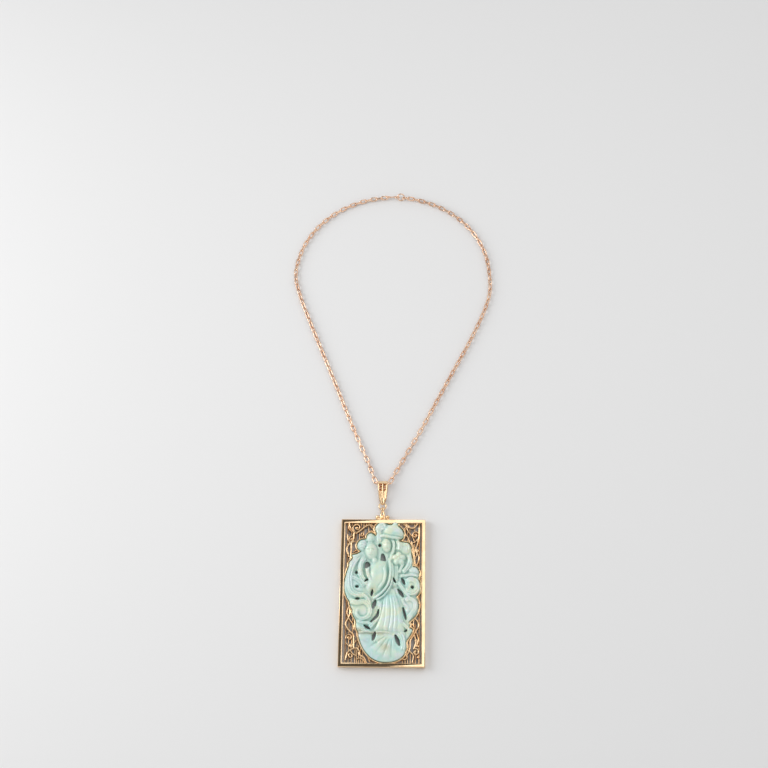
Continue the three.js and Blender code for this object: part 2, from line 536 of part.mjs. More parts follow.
// Link of four bars with a three-sided section, lying along X, its ridge on the inside
function linkGeometry() {
  const corners = [[1, 1], [-1, 1], [-1, -1], [1, -1]];
  const [halfLong, halfWide] = [linkLength / 2, linkWidth / 2];
  const depth = wire + ridgeOverlap;
  const vertices = [];
  for (const [sx, sy] of corners) {
    vertices.push(sx * halfLong, sy * halfWide, wire / 2, sx * halfLong, sy * halfWide, -wire / 2);
    vertices.push(sx * (halfLong - depth), sy * (halfWide - depth), 0);
  }
  const faces = [];
  for (let i = 0; i < 4; i += 1) {
    const [a, b] = [i * 3, ((i + 1) % 4) * 3];
    for (let k = 0; k < 3; k += 1) {
      const next = (k + 1) % 3;
      faces.push(a + k, a + next, b + next, a + k, b + next, b + k);
    }
  }
  const geometry = new THREE.BufferGeometry();
  geometry.setAttribute("position", new THREE.Float32BufferAttribute(vertices, 3));
  geometry.setIndex(faces);
  return geometry;
}

// Roll of the links, from flat beside the bail to leaning farther round
function rollAt(distance) {
  return radians(chainLean) * THREE.MathUtils.smoothstep(distance, 10, leanSettled);
}

// Height of the chain's middle: links rest on the surface, and rise to the bail and to the clasp
function heightAt(distance, remaining) {
  const roll = rollAt(distance);
  const [c, s] = [Math.cos(roll), Math.sin(roll)];
  const resting = (linkWidth / 2) * c + (wire / 2) * s + 0.02;
  const fromBail = lerp(bailPassHeight, resting, THREE.MathUtils.smoothstep(distance, 1, 16));
  return lerp(claspHeight, fromBail, THREE.MathUtils.smoothstep(remaining, 1, 12));
}

const plainLink = linkGeometry();

function linkSolid(start, end, roll) {
  const along = end.clone().sub(start).normalize();
  const sideways = new THREE.Vector3(0, 0, 1).cross(along).normalize();
  const upward = along.clone().cross(sideways);
  const matrix = new THREE.Matrix4().makeBasis(along, sideways, upward);
  matrix.multiply(new THREE.Matrix4().makeRotationX(roll));
  matrix.setPosition(start.clone().add(end).multiplyScalar(0.5));
  return solidOf(plainLink.clone().applyMatrix4(matrix));
}

function chainRun(contacts, turned) {
  const links = [];
  for (let k = 0; k + 1 < contacts.length; k += 1) {
    const upright = (k + turned) % 2 === 1 ? Math.PI / 2 : 0;
    const roll = rollAt((contacts[k].distance + contacts[k + 1].distance) / 2) + upright;
    links.push(linkSolid(contacts[k].point, contacts[k + 1].point, roll));
  }
  return links;
}

// Clasp: a flat hook with an eye for one end of the chain, and a ring for the other end
function claspHook() {
  const bow = [];
  for (let angle = 150; angle >= -130; angle -= 35) {
    bow.push([2 + hookBow * Math.cos(radians(angle)), hookBow * Math.sin(radians(angle))]);
  }
  const shank = [[-2.1, 0], [-0.6, 0.3], ...bow];
  const half = claspWire / 2;
  const eye = prism(ellipse(-3.2, 0, 1.7, 1.7, 0, 12), -half, half)
    .subtract(prism(ellipse(-3.2, 0, 1.0, 1.0, 0, 12), -2, 2));
  return eye.add(prism(strokeOutline(shank, half), -half, half));
}

const group = new THREE.Group();

function addMesh(name, geometry, material) {
  const mesh = new THREE.Mesh(geometry, material);
  mesh.name = name;
  group.add(mesh);
  return mesh;
}

addMesh("opal_carving", geometryOf(opalSolid()), opal);
addMesh("gold_frame", geometryOf(frameSolid()), gold);
addMesh("bail_ring", bailRing(), gold);
addMesh("bail", geometryOf(bailSolid()), gold);

// The link inside the bail belongs to the first run on the left
const bottomLink = linkSolid(
  new THREE.Vector3(leftRoute[0][0] + linkLength - 2 * wire, leftRoute[0][1], bailPassHeight),
  new THREE.Vector3(...leftRoute[0], bailPassHeight),
  0,
);

for (const [side, route, sign, short] of [["left", leftRoute, -1, 3.84], ["right", rightRoute, 1, 5.79]]) {
  runContacts(routeCurve(route, sign), short).forEach((contacts, run) => {
    const turned = (run * linksPerRun + 1) % 2;
    const links = chainRun(contacts, turned);
    if (side === "left" && run === 0) links.unshift(bottomLink);
    addMesh(`chain_${side}_${run + 1}`, geometryOf(joined(links)), roseGold);
  });
}

const claspPlace = [backCentre[0], backCentre[1] + backHalf[1], claspHeight];
const hook = addMesh("clasp_hook", geometryOf(claspHook()), roseGold);
hook.position.set(...claspPlace);
hook.rotation.x = -Math.PI / 4;
const ring = addMesh("clasp_ring", new THREE.TorusGeometry(claspRadius, claspWire / 2, 6, 12), roseGold);
ring.position.set(claspPlace[0] + 4.5, claspPlace[1], claspPlace[2]);
ring.rotation.x = Math.PI / 4;

// The origin moves to the surface, below the middle of the outline
const outline = new THREE.Box3().setFromObject(group);
const middle = outline.getCenter(new THREE.Vector3());
group.position.set(-middle.x, -middle.y, -outline.min.z);

export default group;
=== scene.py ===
import math

import bpy
import numpy as np
from mathutils import Matrix, Vector
from mathutils.geometry import delaunay_2d_cdt


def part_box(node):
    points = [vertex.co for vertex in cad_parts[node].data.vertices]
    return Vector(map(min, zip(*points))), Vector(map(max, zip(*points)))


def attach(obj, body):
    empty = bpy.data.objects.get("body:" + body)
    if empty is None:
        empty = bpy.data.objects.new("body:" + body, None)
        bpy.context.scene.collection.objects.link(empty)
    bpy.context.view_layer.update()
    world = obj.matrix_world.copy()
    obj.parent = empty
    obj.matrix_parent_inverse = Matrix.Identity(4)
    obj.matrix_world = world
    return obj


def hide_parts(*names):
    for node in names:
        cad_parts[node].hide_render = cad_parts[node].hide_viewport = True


# Opal pendant necklace, lying on its back. Shapes are written in millimetres from the middle of the
# pendant, X to the right, Y toward the clasp, Z off the surface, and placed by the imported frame.

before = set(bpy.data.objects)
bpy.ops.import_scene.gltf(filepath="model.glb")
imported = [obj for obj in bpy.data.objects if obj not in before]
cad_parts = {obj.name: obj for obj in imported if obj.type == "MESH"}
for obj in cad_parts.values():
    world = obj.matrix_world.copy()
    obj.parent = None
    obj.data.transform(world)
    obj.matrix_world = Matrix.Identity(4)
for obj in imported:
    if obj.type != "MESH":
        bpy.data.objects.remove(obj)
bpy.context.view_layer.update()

mm = 0.001
frameSize = {"width": 45.5, "height": 78.5, "depth": 3.8}
frameLow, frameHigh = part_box("gold_frame")
pendantX = (frameLow.x + frameHigh.x) / 2 / mm
pendantY = frameLow.y / mm + frameSize["height"] / 2


def placed(points):
    shifted = np.array(points, dtype=float)
    shifted[:, 0] += pendantX
    shifted[:, 1] += pendantY
    return shifted * mm


# Materials

def newMaterial(name):
    material = bpy.data.materials.new(name)
    material.use_nodes = True
    tree = material.node_tree
    return material, tree, tree.nodes["Principled BSDF"]


# Inputs of a node: a socket is linked, anything else is a value
def setInputs(node, inputs):
    for key, value in inputs.items():
        if isinstance(value, bpy.types.NodeSocket):
            node.id_data.links.new(value, node.inputs[key])
        else:
            node.inputs[key].default_value = value


def addNode(tree, kind, inputs=None, **settings):
    node = tree.nodes.new(kind)
    for key, value in settings.items():
        setattr(node, key, value)
    setInputs(node, inputs or {})
    return node


def addNoise(tree, place, scale, detail=3, roughness=0.5, distortion=0):
    noise = {"Vector": place, "Scale": scale, "Detail": detail, "Roughness": roughness}
    return addNode(tree, "ShaderNodeTexNoise", noise | {"Distortion": distortion}).outputs["Fac"]


def addRamp(tree, factor, stops):
    ramp = addNode(tree, "ShaderNodeValToRGB", {"Fac": factor})
    elements = ramp.color_ramp.elements
    while len(elements) < len(stops):
        elements.new(0.5)
    for element, (place, color) in zip(elements, stops):
        element.position = place
        element.color = (*color, 1)
    return ramp.outputs["Color"]


def addBump(tree, height, strength, distance):
    bump = {"Height": height, "Strength": strength, "Distance": distance}
    return addNode(tree, "ShaderNodeBump", bump).outputs["Normal"]


def addMix(tree, amount, color, target):
    mix = {"Fac": amount, "Color1": color, "Color2": (*target, 1)}
    return addNode(tree, "ShaderNodeMixRGB", mix).outputs["Color"]


def addTint(tree, color, share, strength, target):
    share = addNode(tree, "ShaderNodeAttribute", attribute_name=share).outputs["Fac"]
    amount = addNode(tree, "ShaderNodeMath", {0: share, 1: strength}, operation="MULTIPLY")
    return addMix(tree, amount.outputs["Value"], color, target)


goldLook = {
    # Recess colour: painted shade for the low parts of the openwork
    "light": (0.96, 0.73, 0.46), "deep": (0.86, 0.59, 0.34), "recessShade": (0.26, 0.14, 0.05),
    "roughness": (0.04, 0.12),
}
chainLook = {
    # Recess colour: painted shade for low parts
    "light": (0.92, 0.68, 0.51), "deep": (0.78, 0.51, 0.36), "recessShade": (0.3, 0.18, 0.12),
    "roughness": (0.08, 0.20),
}


def goldMaterial(name, look):
    material, tree, shader = newMaterial(name)
    place = addNode(tree, "ShaderNodeTexCoord").outputs["Object"]
    tint = addRamp(tree, addNoise(tree, place, 160), [(0.35, look["deep"]), (0.65, look["light"])])
    smooth, worn = look["roughness"]
    wear = {"Value": addNoise(tree, place, 900, 4), "To Min": smooth, "To Max": worn}
    # Base colour drawn toward the recess colour by the mesh attribute: painted shade in the low openwork
    setInputs(shader, {
        "Base Color": addTint(tree, tint, "recessShade", 0.85, look["recessShade"]),
        "Roughness": addNode(tree, "ShaderNodeMapRange", wear).outputs["Result"],
        "Normal": addBump(tree, addNoise(tree, place, 420), 0.06, 0.0004),
        "Metallic": 1,
    })
    return material


# Stone tones; clouds are stops of a noise, tints are attributes with their strength and tone; the ridge
# tint is a painted highlight, the valley and pierced tints are painted shade
opalLook = {
    "aqua": (0.46, 0.74, 0.71), "mint": (0.58, 0.79, 0.69), "cream": (0.73, 0.81, 0.60),
    "lilac": (0.72, 0.79, 0.85), "pale": (0.82, 0.89, 0.80), "deep": (0.30, 0.52, 0.45),
    # Dark colour: painted shade in the pierced holes
    "brown": (0.50, 0.38, 0.18), "paintedShade": (0.05, 0.035, 0.025),
    "clouds": [(0.32, "aqua"), (0.47, "mint"), (0.60, "cream"), (0.74, "mint")],
    "tints": {
        # Ridge: painted highlight on raised parts; valley: painted shade in creases; pierced: painted shade
        # in the holes
        "warmth": (0.6, "cream"), "coolness": (0.5, "lilac"), "ridgeHighlight": (0.4, "pale"),
        "valleyShade": (0.75, "deep"), "brownish": (0.5, "brown"), "piercedShade": (1, "paintedShade"),
    },
    "flash": [(0.50, (0, 0, 0)), (0.70, (0.7, 0.7, 0.7))],
    "surface": {
        "Roughness": 0.22, "IOR": 1.45, "Subsurface Weight": 0.25, "Subsurface Radius": (0.5, 1, 0.9),
        "Subsurface Scale": 0.0008, "Coat Weight": 0.6, "Coat Roughness": 0.08,
    },
}


def opalMaterial():
    material, tree, shader = newMaterial("palePolishedOpal")
    place = addNode(tree, "ShaderNodeTexCoord").outputs["Object"]
    clouds = addNoise(tree, place, 95, 4, 0.55, 0.6)
    body = addRamp(tree, clouds, [(stop, opalLook[tone]) for stop, tone in opalLook["clouds"]])
    flash = addRamp(tree, addNoise(tree, place, 260, 2, 0.4, 1.2), opalLook["flash"])
    color = addMix(tree, flash, body, opalLook["lilac"])
    # Some tints are painted light: highlight on ridges, shade in valleys and holes
    for share, (strength, tone) in opalLook["tints"].items():
        color = addTint(tree, color, share, strength, opalLook[tone])
    grain = addBump(tree, addNoise(tree, place, 1500), 0.05, 0.0002)
    setInputs(shader, {"Base Color": color, "Normal": grain} | opalLook["surface"])
    return material


polishedGold = goldMaterial("polishedYellowGold", goldLook)
chainGold = goldMaterial("polishedRoseGold", chainLook)
palePolishedOpal = opalMaterial()
print("materials ready")


# Meshes and lines

def newObject(name, data):
    made = bpy.data.objects.new(name, data)
    bpy.context.scene.collection.objects.link(made)
    return made


def newMesh(name, points, faces):
    mesh = bpy.data.meshes.new(name)
    mesh.from_pydata([tuple(p) for p in points], [], faces)
    mesh.polygons.foreach_set("use_smooth", [True] * len(mesh.polygons))
    return mesh


def addAttribute(mesh, name, values):
    attribute = mesh.attributes.new(name, "FLOAT", "POINT")
    attribute.data.foreach_set("value", values.astype(np.float32))


def makePiece(name, points, faces, material, slot, sharp=None):
    mesh = newMesh(name, placed(points), faces)
    mesh.validate()
    mesh.materials.append(material)
    if sharp:
        mesh.set_sharp_from_angle(angle=math.radians(sharp))
    piece = newObject(name, mesh)
    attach(piece, "root")
    return piece


# Vectors brought to length one
def unit(vectors):
    return vectors / np.linalg.norm(vectors, axis=1)[:, None]


def smoothLine(points, step):
    points = np.array(points, dtype=float)
    if len(points) < 3:
        count = max(1, round(np.linalg.norm(points[1] - points[0]) / step))
        return points[0] + (points[1] - points[0]) * np.linspace(0, 1, count + 1)[:, None]
    padded = np.vstack([2 * points[0] - points[1], points, 2 * points[-1] - points[-2]])
    fine = []
    for a, b, c, d in zip(padded, padded[1:], padded[2:], padded[3:]):
        t1 = np.linalg.norm(b - a) ** 0.5
        t2 = t1 + np.linalg.norm(c - b) ** 0.5
        t3 = t2 + np.linalg.norm(d - c) ** 0.5
        t = np.linspace(t1, t2, 40, endpoint=False)[:, None]
        ab = (t1 - t) / t1 * a + t / t1 * b
        bc = (t2 - t) / (t2 - t1) * b + (t - t1) / (t2 - t1) * c
        cd = (t3 - t) / (t3 - t2) * c + (t - t2) / (t3 - t2) * d
        abc = (t2 - t) / t2 * ab + t / t2 * bc
        bcd = (t3 - t) / (t3 - t1) * bc + (t - t1) / (t3 - t1) * cd
        fine.append((t2 - t) / (t2 - t1) * abc + (t - t1) / (t2 - t1) * bcd)
    return evenly(np.vstack([*fine, points[-1:]]), step)


def evenly(line, step):
    travelled = np.r_[0, np.cumsum(np.linalg.norm(np.diff(line, axis=0), axis=1))]
    count = max(2, round(travelled[-1] / step))
    wanted = np.linspace(0, travelled[-1], count + 1)
    return np.stack([np.interp(wanted, travelled, line[:, k]) for k in range(line.shape[1])], axis=1)


def spiral(x, y, outer, inner, start, sweep):
    t = np.linspace(0, 1, 37)
    angle = np.radians(start + sweep * t)
    r = outer + (inner - outer) * t
    return np.stack([x + r * np.cos(angle), y + r * np.sin(angle)], axis=1)


def inside(points, outline):
    result = np.zeros(len(points), dtype=bool)
    x, y = points[:, 0], points[:, 1]
    for (ax, ay), (bx, by) in zip(outline, np.roll(outline, -1, axis=0)):
        if ay != by:
            crossed = ((ay > y) != (by > y)) & (x < ax + (y - ay) * (bx - ax) / (by - ay))
            result ^= crossed
    return result


def distanceTo(points, line, closed=False):
    nearest = np.full(len(points), np.inf)
    along = np.zeros(len(points))
    ends = np.roll(line, -1, axis=0) if closed else line[1:]
    for i, (a, b) in enumerate(zip(line, ends)):
        edge = b - a
        t = np.clip(((points - a) @ edge) / (edge @ edge), 0, 1)
        distance = np.linalg.norm(points - a - t[:, None] * edge, axis=1)
        closer = distance < nearest
        nearest = np.where(closer, distance, nearest)
        along = np.where(closer, i + t, along)
    return nearest, along / len(ends)


def area(outline):
    x, y = outline[:, 0], outline[:, 1]
    return 0.5 * np.sum(x * np.roll(y, -1) - y * np.roll(x, -1))


# Outline moved outward by a distance; places nearer than that distance are dropped
def offsetOutline(outline, distance):
    before = unit(outline - np.roll(outline, 1, axis=0))
    after = unit(np.roll(outline, -1, axis=0) - outline)
    normal = np.stack([before[:, 1] + after[:, 1], -before[:, 0] - after[:, 0]], axis=1)
    normal *= np.sign(area(outline))
    square = np.maximum(0.5, np.sum(normal ** 2, axis=1) / 2)
    moved = outline + normal / square[:, None] * distance
    away = distanceTo(moved, outline, True)[0]
    return moved[away > abs(distance) * 0.999]


def hexGrid(low, high, pitch):
    rows = []
    for k, y in enumerate(np.arange(low[1], high[1], pitch * 0.866)):
        x = np.arange(low[0] + (k % 2) * pitch / 2, high[0], pitch)
        rows.append(np.c_[x, np.full(len(x), y)])
    return np.vstack(rows)


# Closed solid between an outline with holes: its top follows heightOf, eased, then cut by carve
def reliefSolid(outer, holes, pitch, heightOf, low, edgeRings=(), extra=(), easing=0, carve=None):
    loops = [outer, *holes]
    points = [p for loop in loops for p in loop]
    edges = []
    start = 0
    for loop in loops:
        edges += [(start + i, start + (i + 1) % len(loop)) for i in range(len(loop))]
        start += len(loop)
    rim = np.array(points)
    filling = hexGrid(rim.min(axis=0), rim.max(axis=0), pitch)
    filling = filling[inside(filling, outer)]
    margin = pitch * 0.6 + max(edgeRings, default=0)
    clear = distanceTo(filling, outer, True)[0] > margin
    for hole in holes:
        clear &= ~inside(filling, hole) & (distanceTo(filling, hole, True)[0] > margin)
    rings = []
    for inset in edgeRings:
        rings.append(offsetOutline(outer, -inset))
        rings += [offsetOutline(hole, inset) for hole in holes]
    flat = np.vstack([rim, *rings, *extra, filling[clear]])
    top = triangulated(flat, edges, outer, holes)
    bottom = triangulated(rim, edges, outer, holes)
    height = eased(heightOf(top[0]), top[1], easing)
    if carve:
        height = height - carve(top[0])
    topPoints = np.c_[top[0], height]
    bottomPoints = np.c_[bottom[0], np.full(len(bottom[0]), low)]
    offset = len(topPoints)
    faces = [tuple(f) for f in top[1]] + [tuple(offset + i for i in reversed(f)) for f in bottom[1]]
    for a, b in wallEdges(top[1]):
        faces.append((b, a, offset + a, offset + b))
    return np.vstack([topPoints, bottomPoints]), faces


# Heights drawn toward their neighbours', a few times over
def eased(height, triangles, times):
    pairs = np.vstack([triangles[:, [0, 1]], triangles[:, [1, 2]], triangles[:, [2, 0]]])
    count = np.bincount(pairs.ravel(), minlength=len(height)).clip(1)
    for turn in range(times):
        total = np.bincount(pairs[:, 0], height[pairs[:, 1]], len(height))
        total += np.bincount(pairs[:, 1], height[pairs[:, 0]], len(height))
        height = 0.5 * height + 0.5 * total / count
    return height


def wallEdges(triangles):
    seen = {}
    for a, b, c in triangles:
        for edge in ((a, b), (b, c), (c, a)):
            seen[edge] = True
    return [edge for edge in seen if (edge[1], edge[0]) not in seen]


def triangulated(flat, edges, outer, holes):
    found = delaunay_2d_cdt([Vector(p) for p in flat], edges, [], 0, 1e-6)
    corners = np.array([tuple(v) for v in found[0]])
    triangles = np.array([tuple(f) for f in found[2]])
    centre = corners[triangles].mean(axis=1)
    keep = inside(centre, outer)
    for hole in holes:
        keep &= ~inside(centre, hole)
    triangles = triangles[keep]
    a, b, c = (corners[triangles[:, k]] for k in range(3))
    turned = (b[:, 0] - a[:, 0]) * (c[:, 1] - a[:, 1]) - (b[:, 1] - a[:, 1]) * (c[:, 0] - a[:, 0]) < 0
    triangles[turned] = triangles[turned][:, ::-1]
    return corners, triangles


def smoothstep(value, low, high):
    t = np.clip((value - low) / (high - low), 0, 1)
    return t * t * (3 - 2 * t)


# Carved opal: two robed figures among scarves, over a low mound, pierced and rounded

opal = {
    "back": 0.75, "rim": 2.9, "ground": 3.5, "rimWidth": 0.9, "step": 0.24, "pitch": 0.2, "relief": 0.3,
    "edgeRings": (0.09, 0.22), "holeRound": 0.6, "holeDrop": 1.0, "capRise": 3.3, "capReach": 3,
    "domeBlend": 0.7, "petalBlend": 0.2, "ribbonBlend": 0.16, "foldLean": 0.16, "sharp": 62,
    "slotTaper": (0.62, 0.46), "moundFade": 2.5, "moundSink": 0.6,
    "outline": [
        [[-3.8, 30.6], [-3.5, 31.2], [-3.6, 32], [-4.2, 33], [-4.4, 34], [-4, 35.6], [-3, 36.6],
         [-1.8, 37.4], [0.3, 37.6], [1.6, 37], [2.5, 36.3]],
        [[2.5, 36.3], [4, 36.2], [4.6, 36.4], [5, 37], [6.4, 38], [7.6, 37.2], [7.9, 35.8], [9, 34.8],
         [10.2, 33.5], [11, 31.5], [10.9, 29.8], [10.3, 28.9], [8.8, 27.9]],
        [[8.8, 27.9], [8.8, 27.4], [10.5, 26.8], [12.5, 26.6], [13.6, 26.3], [14.4, 25.4], [15, 24],
         [15.1, 22], [15.4, 20], [15.7, 18], [16, 16.5], [15.9, 13.8], [16.5, 13.4], [17.5, 13.3],
         [18.6, 12.4], [19.3, 11], [19.5, 9.5], [19.2, 8.3], [18.9, 7.3]],
        [[18.9, 7.3], [19.3, 6.3], [19.8, 4.5], [20, 2.5], [19.8, 0.5], [19, -0.8], [17.9, -2]],
        [[17.9, -2], [18.2, -3.2], [18.8, -4.8], [19.2, -6.5], [19.1, -8.5], [18.6, -10.5], [17.6, -12.3],
         [16.2, -13.8], [14.8, -15], [14.1, -15.6]],
        [[14.1, -15.6], [14.3, -16.5], [14.6, -17.6], [14.4, -18.9], [15.8, -19.6], [16, -20.4],
         [15.4, -21.6], [14.6, -22.9], [14, -23.8], [13.2, -25], [12.8, -26.3], [12.9, -27.5],
         [13.1, -28.5], [12.9, -29.6], [12.4, -30.6], [12.2, -31.5], [11.5, -32.9], [10.4, -34],
         [9.2, -34.9], [8, -35.5], [6, -36.2], [3.5, -36.6], [1, -36.6], [-1.5, -36.2], [-4, -35.2],
         [-6, -33.9], [-8, -31.9], [-9.6, -29.7], [-10.8, -27.4], [-11.6, -25.2], [-12.2, -23.4],
         [-12.4, -21.5], [-13.2, -19.8], [-13.7, -18], [-13.6, -16.5], [-13.8, -15]],
        [[-13.8, -15], [-15, -13], [-15.8, -11], [-15.7, -9.6]],
        [[-15.7, -9.6], [-16.5, -8.5], [-17, -7], [-17.6, -5], [-18.6, -3.5], [-19.3, -2], [-20, 0],
         [-20.3, 2], [-20.4, 4], [-20.2, 6], [-19.8, 8], [-19.3, 10], [-18.7, 12], [-18.1, 14], [-18.2, 15],
         [-17.5, 16.2], [-16.8, 16.8]],
        [[-16.8, 16.8], [-16.2, 18.2], [-16.6, 19.2], [-16, 19.7], [-14.5, 20], [-13, 20.6], [-12.3, 21.2],
         [-11.6, 21.7]],
        [[-11.6, 21.7], [-12.6, 22.2], [-13.6, 23.2], [-14, 24.6], [-13.6, 26.2], [-12.6, 27.4],
         [-11.2, 28], [-9.7, 28.2], [-9, 28.8]],
        [[-9, 28.8], [-8.8, 30.2], [-8, 31.2], [-6.9, 31.6], [-5.6, 31.2], [-4.6, 30.4], [-4, 30.3],
         [-3.8, 30.6]],
    ],
    # [line, half width]
    "slots": [
        [[[-1.8, 25.1], [-1.8, 25]], 0.75], [[[-14.1, 10.4], [-14.1, 10]], 0.6],
        [[[-9.1, 5.6], [-8.1, 6.4]], 0.6], [[[-13.9, 2.7], [-13.3, 2.7]], 0.6],
        [[[-13.9, -3.7], [-12.5, -3.5]], 0.45], [[[-5.4, 0.5], [-5.8, -1.7]], 0.6],
        [[[-3.8, -5.2], [-4.8, -8]], 0.95], [[[-1.9, -10], [-2.7, -12.8], [-5.5, -15.5]], 0.68],
        [[[-8.9, -18], [-6.7, -19.4]], 0.7], [[[-3.7, -21.8], [-4.6, -24.8]], 0.85],
        [[[7.4, -23.4], [9, -27.3]], 0.95], [[[12, -20.7], [13, -20]], 0.4],
        [[[11.1, -8.7], [12.5, -14]], 0.58], [[[8.7, 0.9], [10.8, -2]], 0.85],
        [[[10.5, 6.8], [11.5, 4.6]], 0.72], [[[5.7, 7], [6.8, 5.1]], 0.48],
        [[[15.9, 2.6], [15.9, 2.4]], 0.75],
    ],
    "corners": [
        [[-1.1, 16.8], [1.5, 16.8], [0.3, 20.3], [-0.7, 20.3]],
        [[-9.8, 12.6], [-8.4, 12.2], [-6.8, 14.5], [-8.2, 16.1], [-9.6, 15]],
    ],
    # [x, y, half across, half along, turn, low, high]
    "domes": [
        [4.4, -10.5, 8.2, 12.4, 4, 2.6, 4.5], [1.5, -31.5, 10.2, 6, 0, 2.6, 4.5],
        [-16, 4, 5.4, 10, 8, 2.6, 4.1], [-10.4, -9.6, 6.4, 6.4, 0, 2.6, 4.2],
        [-10.6, -18.4, 3.4, 4.4, 10, 2.6, 4], [15.2, -8.2, 4.6, 7.4, 12, 2.6, 4.3],
        [15.9, 2.9, 5, 5.4, 0, 2.6, 4.3], [16.4, 11.4, 3.4, 2.9, -15, 2.6, 4.8],
        [-2.4, 8.4, 6.2, 9.6, -6, 2.6, 6], [-4.6, 4.2, 4.6, 5.6, -30, 2.6, 5.4],
        [-16.4, 16.4, 2.6, 2.6, 20, 2.6, 4.3], [-14.2, 19.4, 3, 1.7, 14, 2.6, 4.5],
        [9.6, -29.8, 3.6, 5.4, 8, 2.6, 4.4], [0.6, -23, 6.4, 2.3, 0, 2.6, 4],
        [-8.2, -23.6, 4.6, 2.8, -12, 2.6, 4.2], [12, 23, 4.2, 4.6, 0, 2.6, 5],
        [5.6, 32.7, 5.9, 4.2, -8, 3, 5.9], [-1.2, 35, 3.5, 2.8, 12, 2.6, 4.6],
        [6.4, 36.5, 1.7, 1.7, 0, 2.6, 4.6], [-11.2, 25, 3.1, 3.2, 0, 2.6, 5.2],
        [-6.9, 28.7, 2.3, 3.1, 0, 2.6, 5.2], [-6.4, 21.9, 3.5, 5.3, 12, 3, 6],
        [1.9, 25, 2.7, 4.3, 6, 3, 5.95], [14.9, -20.4, 1.9, 1.7, 0, 2.6, 4.2],
        [-4.4, 16.4, 1.7, 2.4, 14, 3, 5.3],
    ],
    # [line, half width at its start and its end, folds, low, high]
    "ribbons": [
        [[[3.9, -1.2], [4.6, -8], [4.7, -14], [4.1, -21.4]], 3, 8.2, 5, 3.9, 5.2],
        [[[-12, 20.2], [-15.2, 16.4], [-17.3, 11], [-17.7, 5], [-16.6, 0.4], [-13, -1.9], [-8.2, -1.6]], 2,
         1.7, 3, 3, 5],
        [[[-18.6, 7.6], [-14.4, 7], [-11.2, 4.6], [-9.4, 2.2]], 1.2, 1.5, 2, 3, 4.7],
        [[[-9.8, 18.8], [-11.8, 14.2], [-11.9, 9.8], [-10.2, 6.4], [-6.6, 3.2]], 1.5, 1.5, 3, 3.2, 5.3],
        [[[-18.2, -4.6], [-13.5, -6], [-9.4, -5.6], [-6.5, -8.6], [-7.2, -12.9], [-10.8, -14.3],
          [-13.4, -12.2], [-12.9, -9.6], [-10.7, -9.2]], 1.8, 0.8, 3, 3.2, 5.1],
        [[[-11.6, -1.2], [-8.6, -3], [-7, -5.6], [-6.6, -8]], 1.2, 1.1, 2, 3, 4.8],
        [[[-13.4, -15.4], [-10.2, -16.3], [-7.2, -16.6], [-4.6, -17.8]], 1, 1, 2, 3, 4.7],
        [[[-13, -18.6], [-10.9, -19.6], [-8.6, -20.8], [-5.6, -21.2]], 1, 0.8, 2, 3, 4.6],
        [[[-1.2, -4.6], [-1.1, -8.4], [-1.9, -13], [-5.2, -17.6], [-8, -20.4]], 1.2, 1.2, 2, 3.3, 5],
        [[[12.6, 5.2], [15, 6.6], [17.6, 5.6], [18.7, 2.9], [17.6, 0.3], [15.2, -0.6], [13, 0.6],
          [12.5, 3]], 1.6, 1.7, 3, 3.2, 5],
        [[[9, 8.4], [11.8, 8.6], [15.4, 9], [19.2, 8.3]], 0.9, 0.9, 2, 3.2, 5.1],
        [[[8, 5.4], [9.8, 3], [12.4, -0.6], [15.4, -2.6]], 1.1, 1.1, 2, 3.2, 4.9],
        [[[11.6, -4.6], [14.6, -3.7], [17.2, -5.4], [17.4, -8.6], [15.6, -11.6], [13.8, -14.6]], 1.4, 1.2,
         3, 3.2, 4.9],
        [[[10.6, -3.2], [11.3, -6], [13.5, -8.6], [13.6, -11.6]], 0.9, 0.7, 2, 3, 4.7],
        [[[10.4, -16.2], [12.6, -18.2], [15, -20.6]], 1.2, 1.1, 2, 3, 4.6],
        [[[8.8, -20.8], [10.8, -23.4], [11.4, -27.4], [10.8, -31.6]], 1.2, 1.2, 2, 3.2, 4.8],
        [[[3.6, 17.4], [4.2, 10.4], [2.9, 3.8], [-0.6, -1], [-4.2, -3.4]], 0.9, 0.8, 1, 3.6, 5.9],
        [[[4.9, 16.6], [5.5, 9.8], [4.2, 3], [0.6, -2.2], [-3.4, -4.6]], 0.6, 0.6, 1, 3.4, 5.5],
        [[[-8.4, 15.2], [-8.1, 10.6], [-6.8, 6.6], [-4.2, 3.6]], 1.2, 1, 1, 3.6, 5.7],
        [[[0.6, 13.6], [1.4, 9.4], [0.6, 5.2], [-2, 1.4]], 0.9, 0.9, 1, 4.4, 6],
        [[[6.6, 15], [6.9, 10.6], [6.5, 6.6], [6.3, 2.2]], 1.9, 1.5, 4, 3.2, 4.7],
        [[[10.4, 26.3], [13.2, 25], [14.2, 21.8]], 1.9, 1.9, 3, 3.6, 5.3],
        [[[13.4, 20.6], [14.6, 17.4], [13.5, 13.6], [10.2, 9.8]], 1.7, 1.3, 3, 3.2, 5.2],
        [[[11, 15.4], [9.6, 12.2], [8.8, 9.6]], 1, 0.9, 2, 3.2, 4.9],
        [[[5, 28.2], [5.9, 25.2], [5.5, 22], [4.5, 19], [4.6, 16]], 0.9, 0.9, 3, 3.6, 5.5],
        [[[8.2, 28], [8.9, 24.8], [8.2, 21.8]], 1.9, 1.9, 3, 3.6, 5.4],
        [[[-2.3, 34.4], [-2.3, 30.2], [-1.9, 26.2]], 1.7, 1.4, 1, 2.9, 3.9],
        [[[-0.9, 30.2], [3.8, 29.3], [9.6, 28.4]], 0.9, 0.9, 2, 3.6, 6],
        [[[-3, 36.2], [-0.8, 36.9], [0.9, 35.6], [0.2, 33.8], [-1.6, 34]], 0.8, 0.6, 2, 3, 5.1],
        [[[-12.6, -21.7], [-8.2, -21.2], [-4, -21.6], [0, -21.2], [5.6, -22]], 0.5, 0.5, 1, 3.4, 4.9],
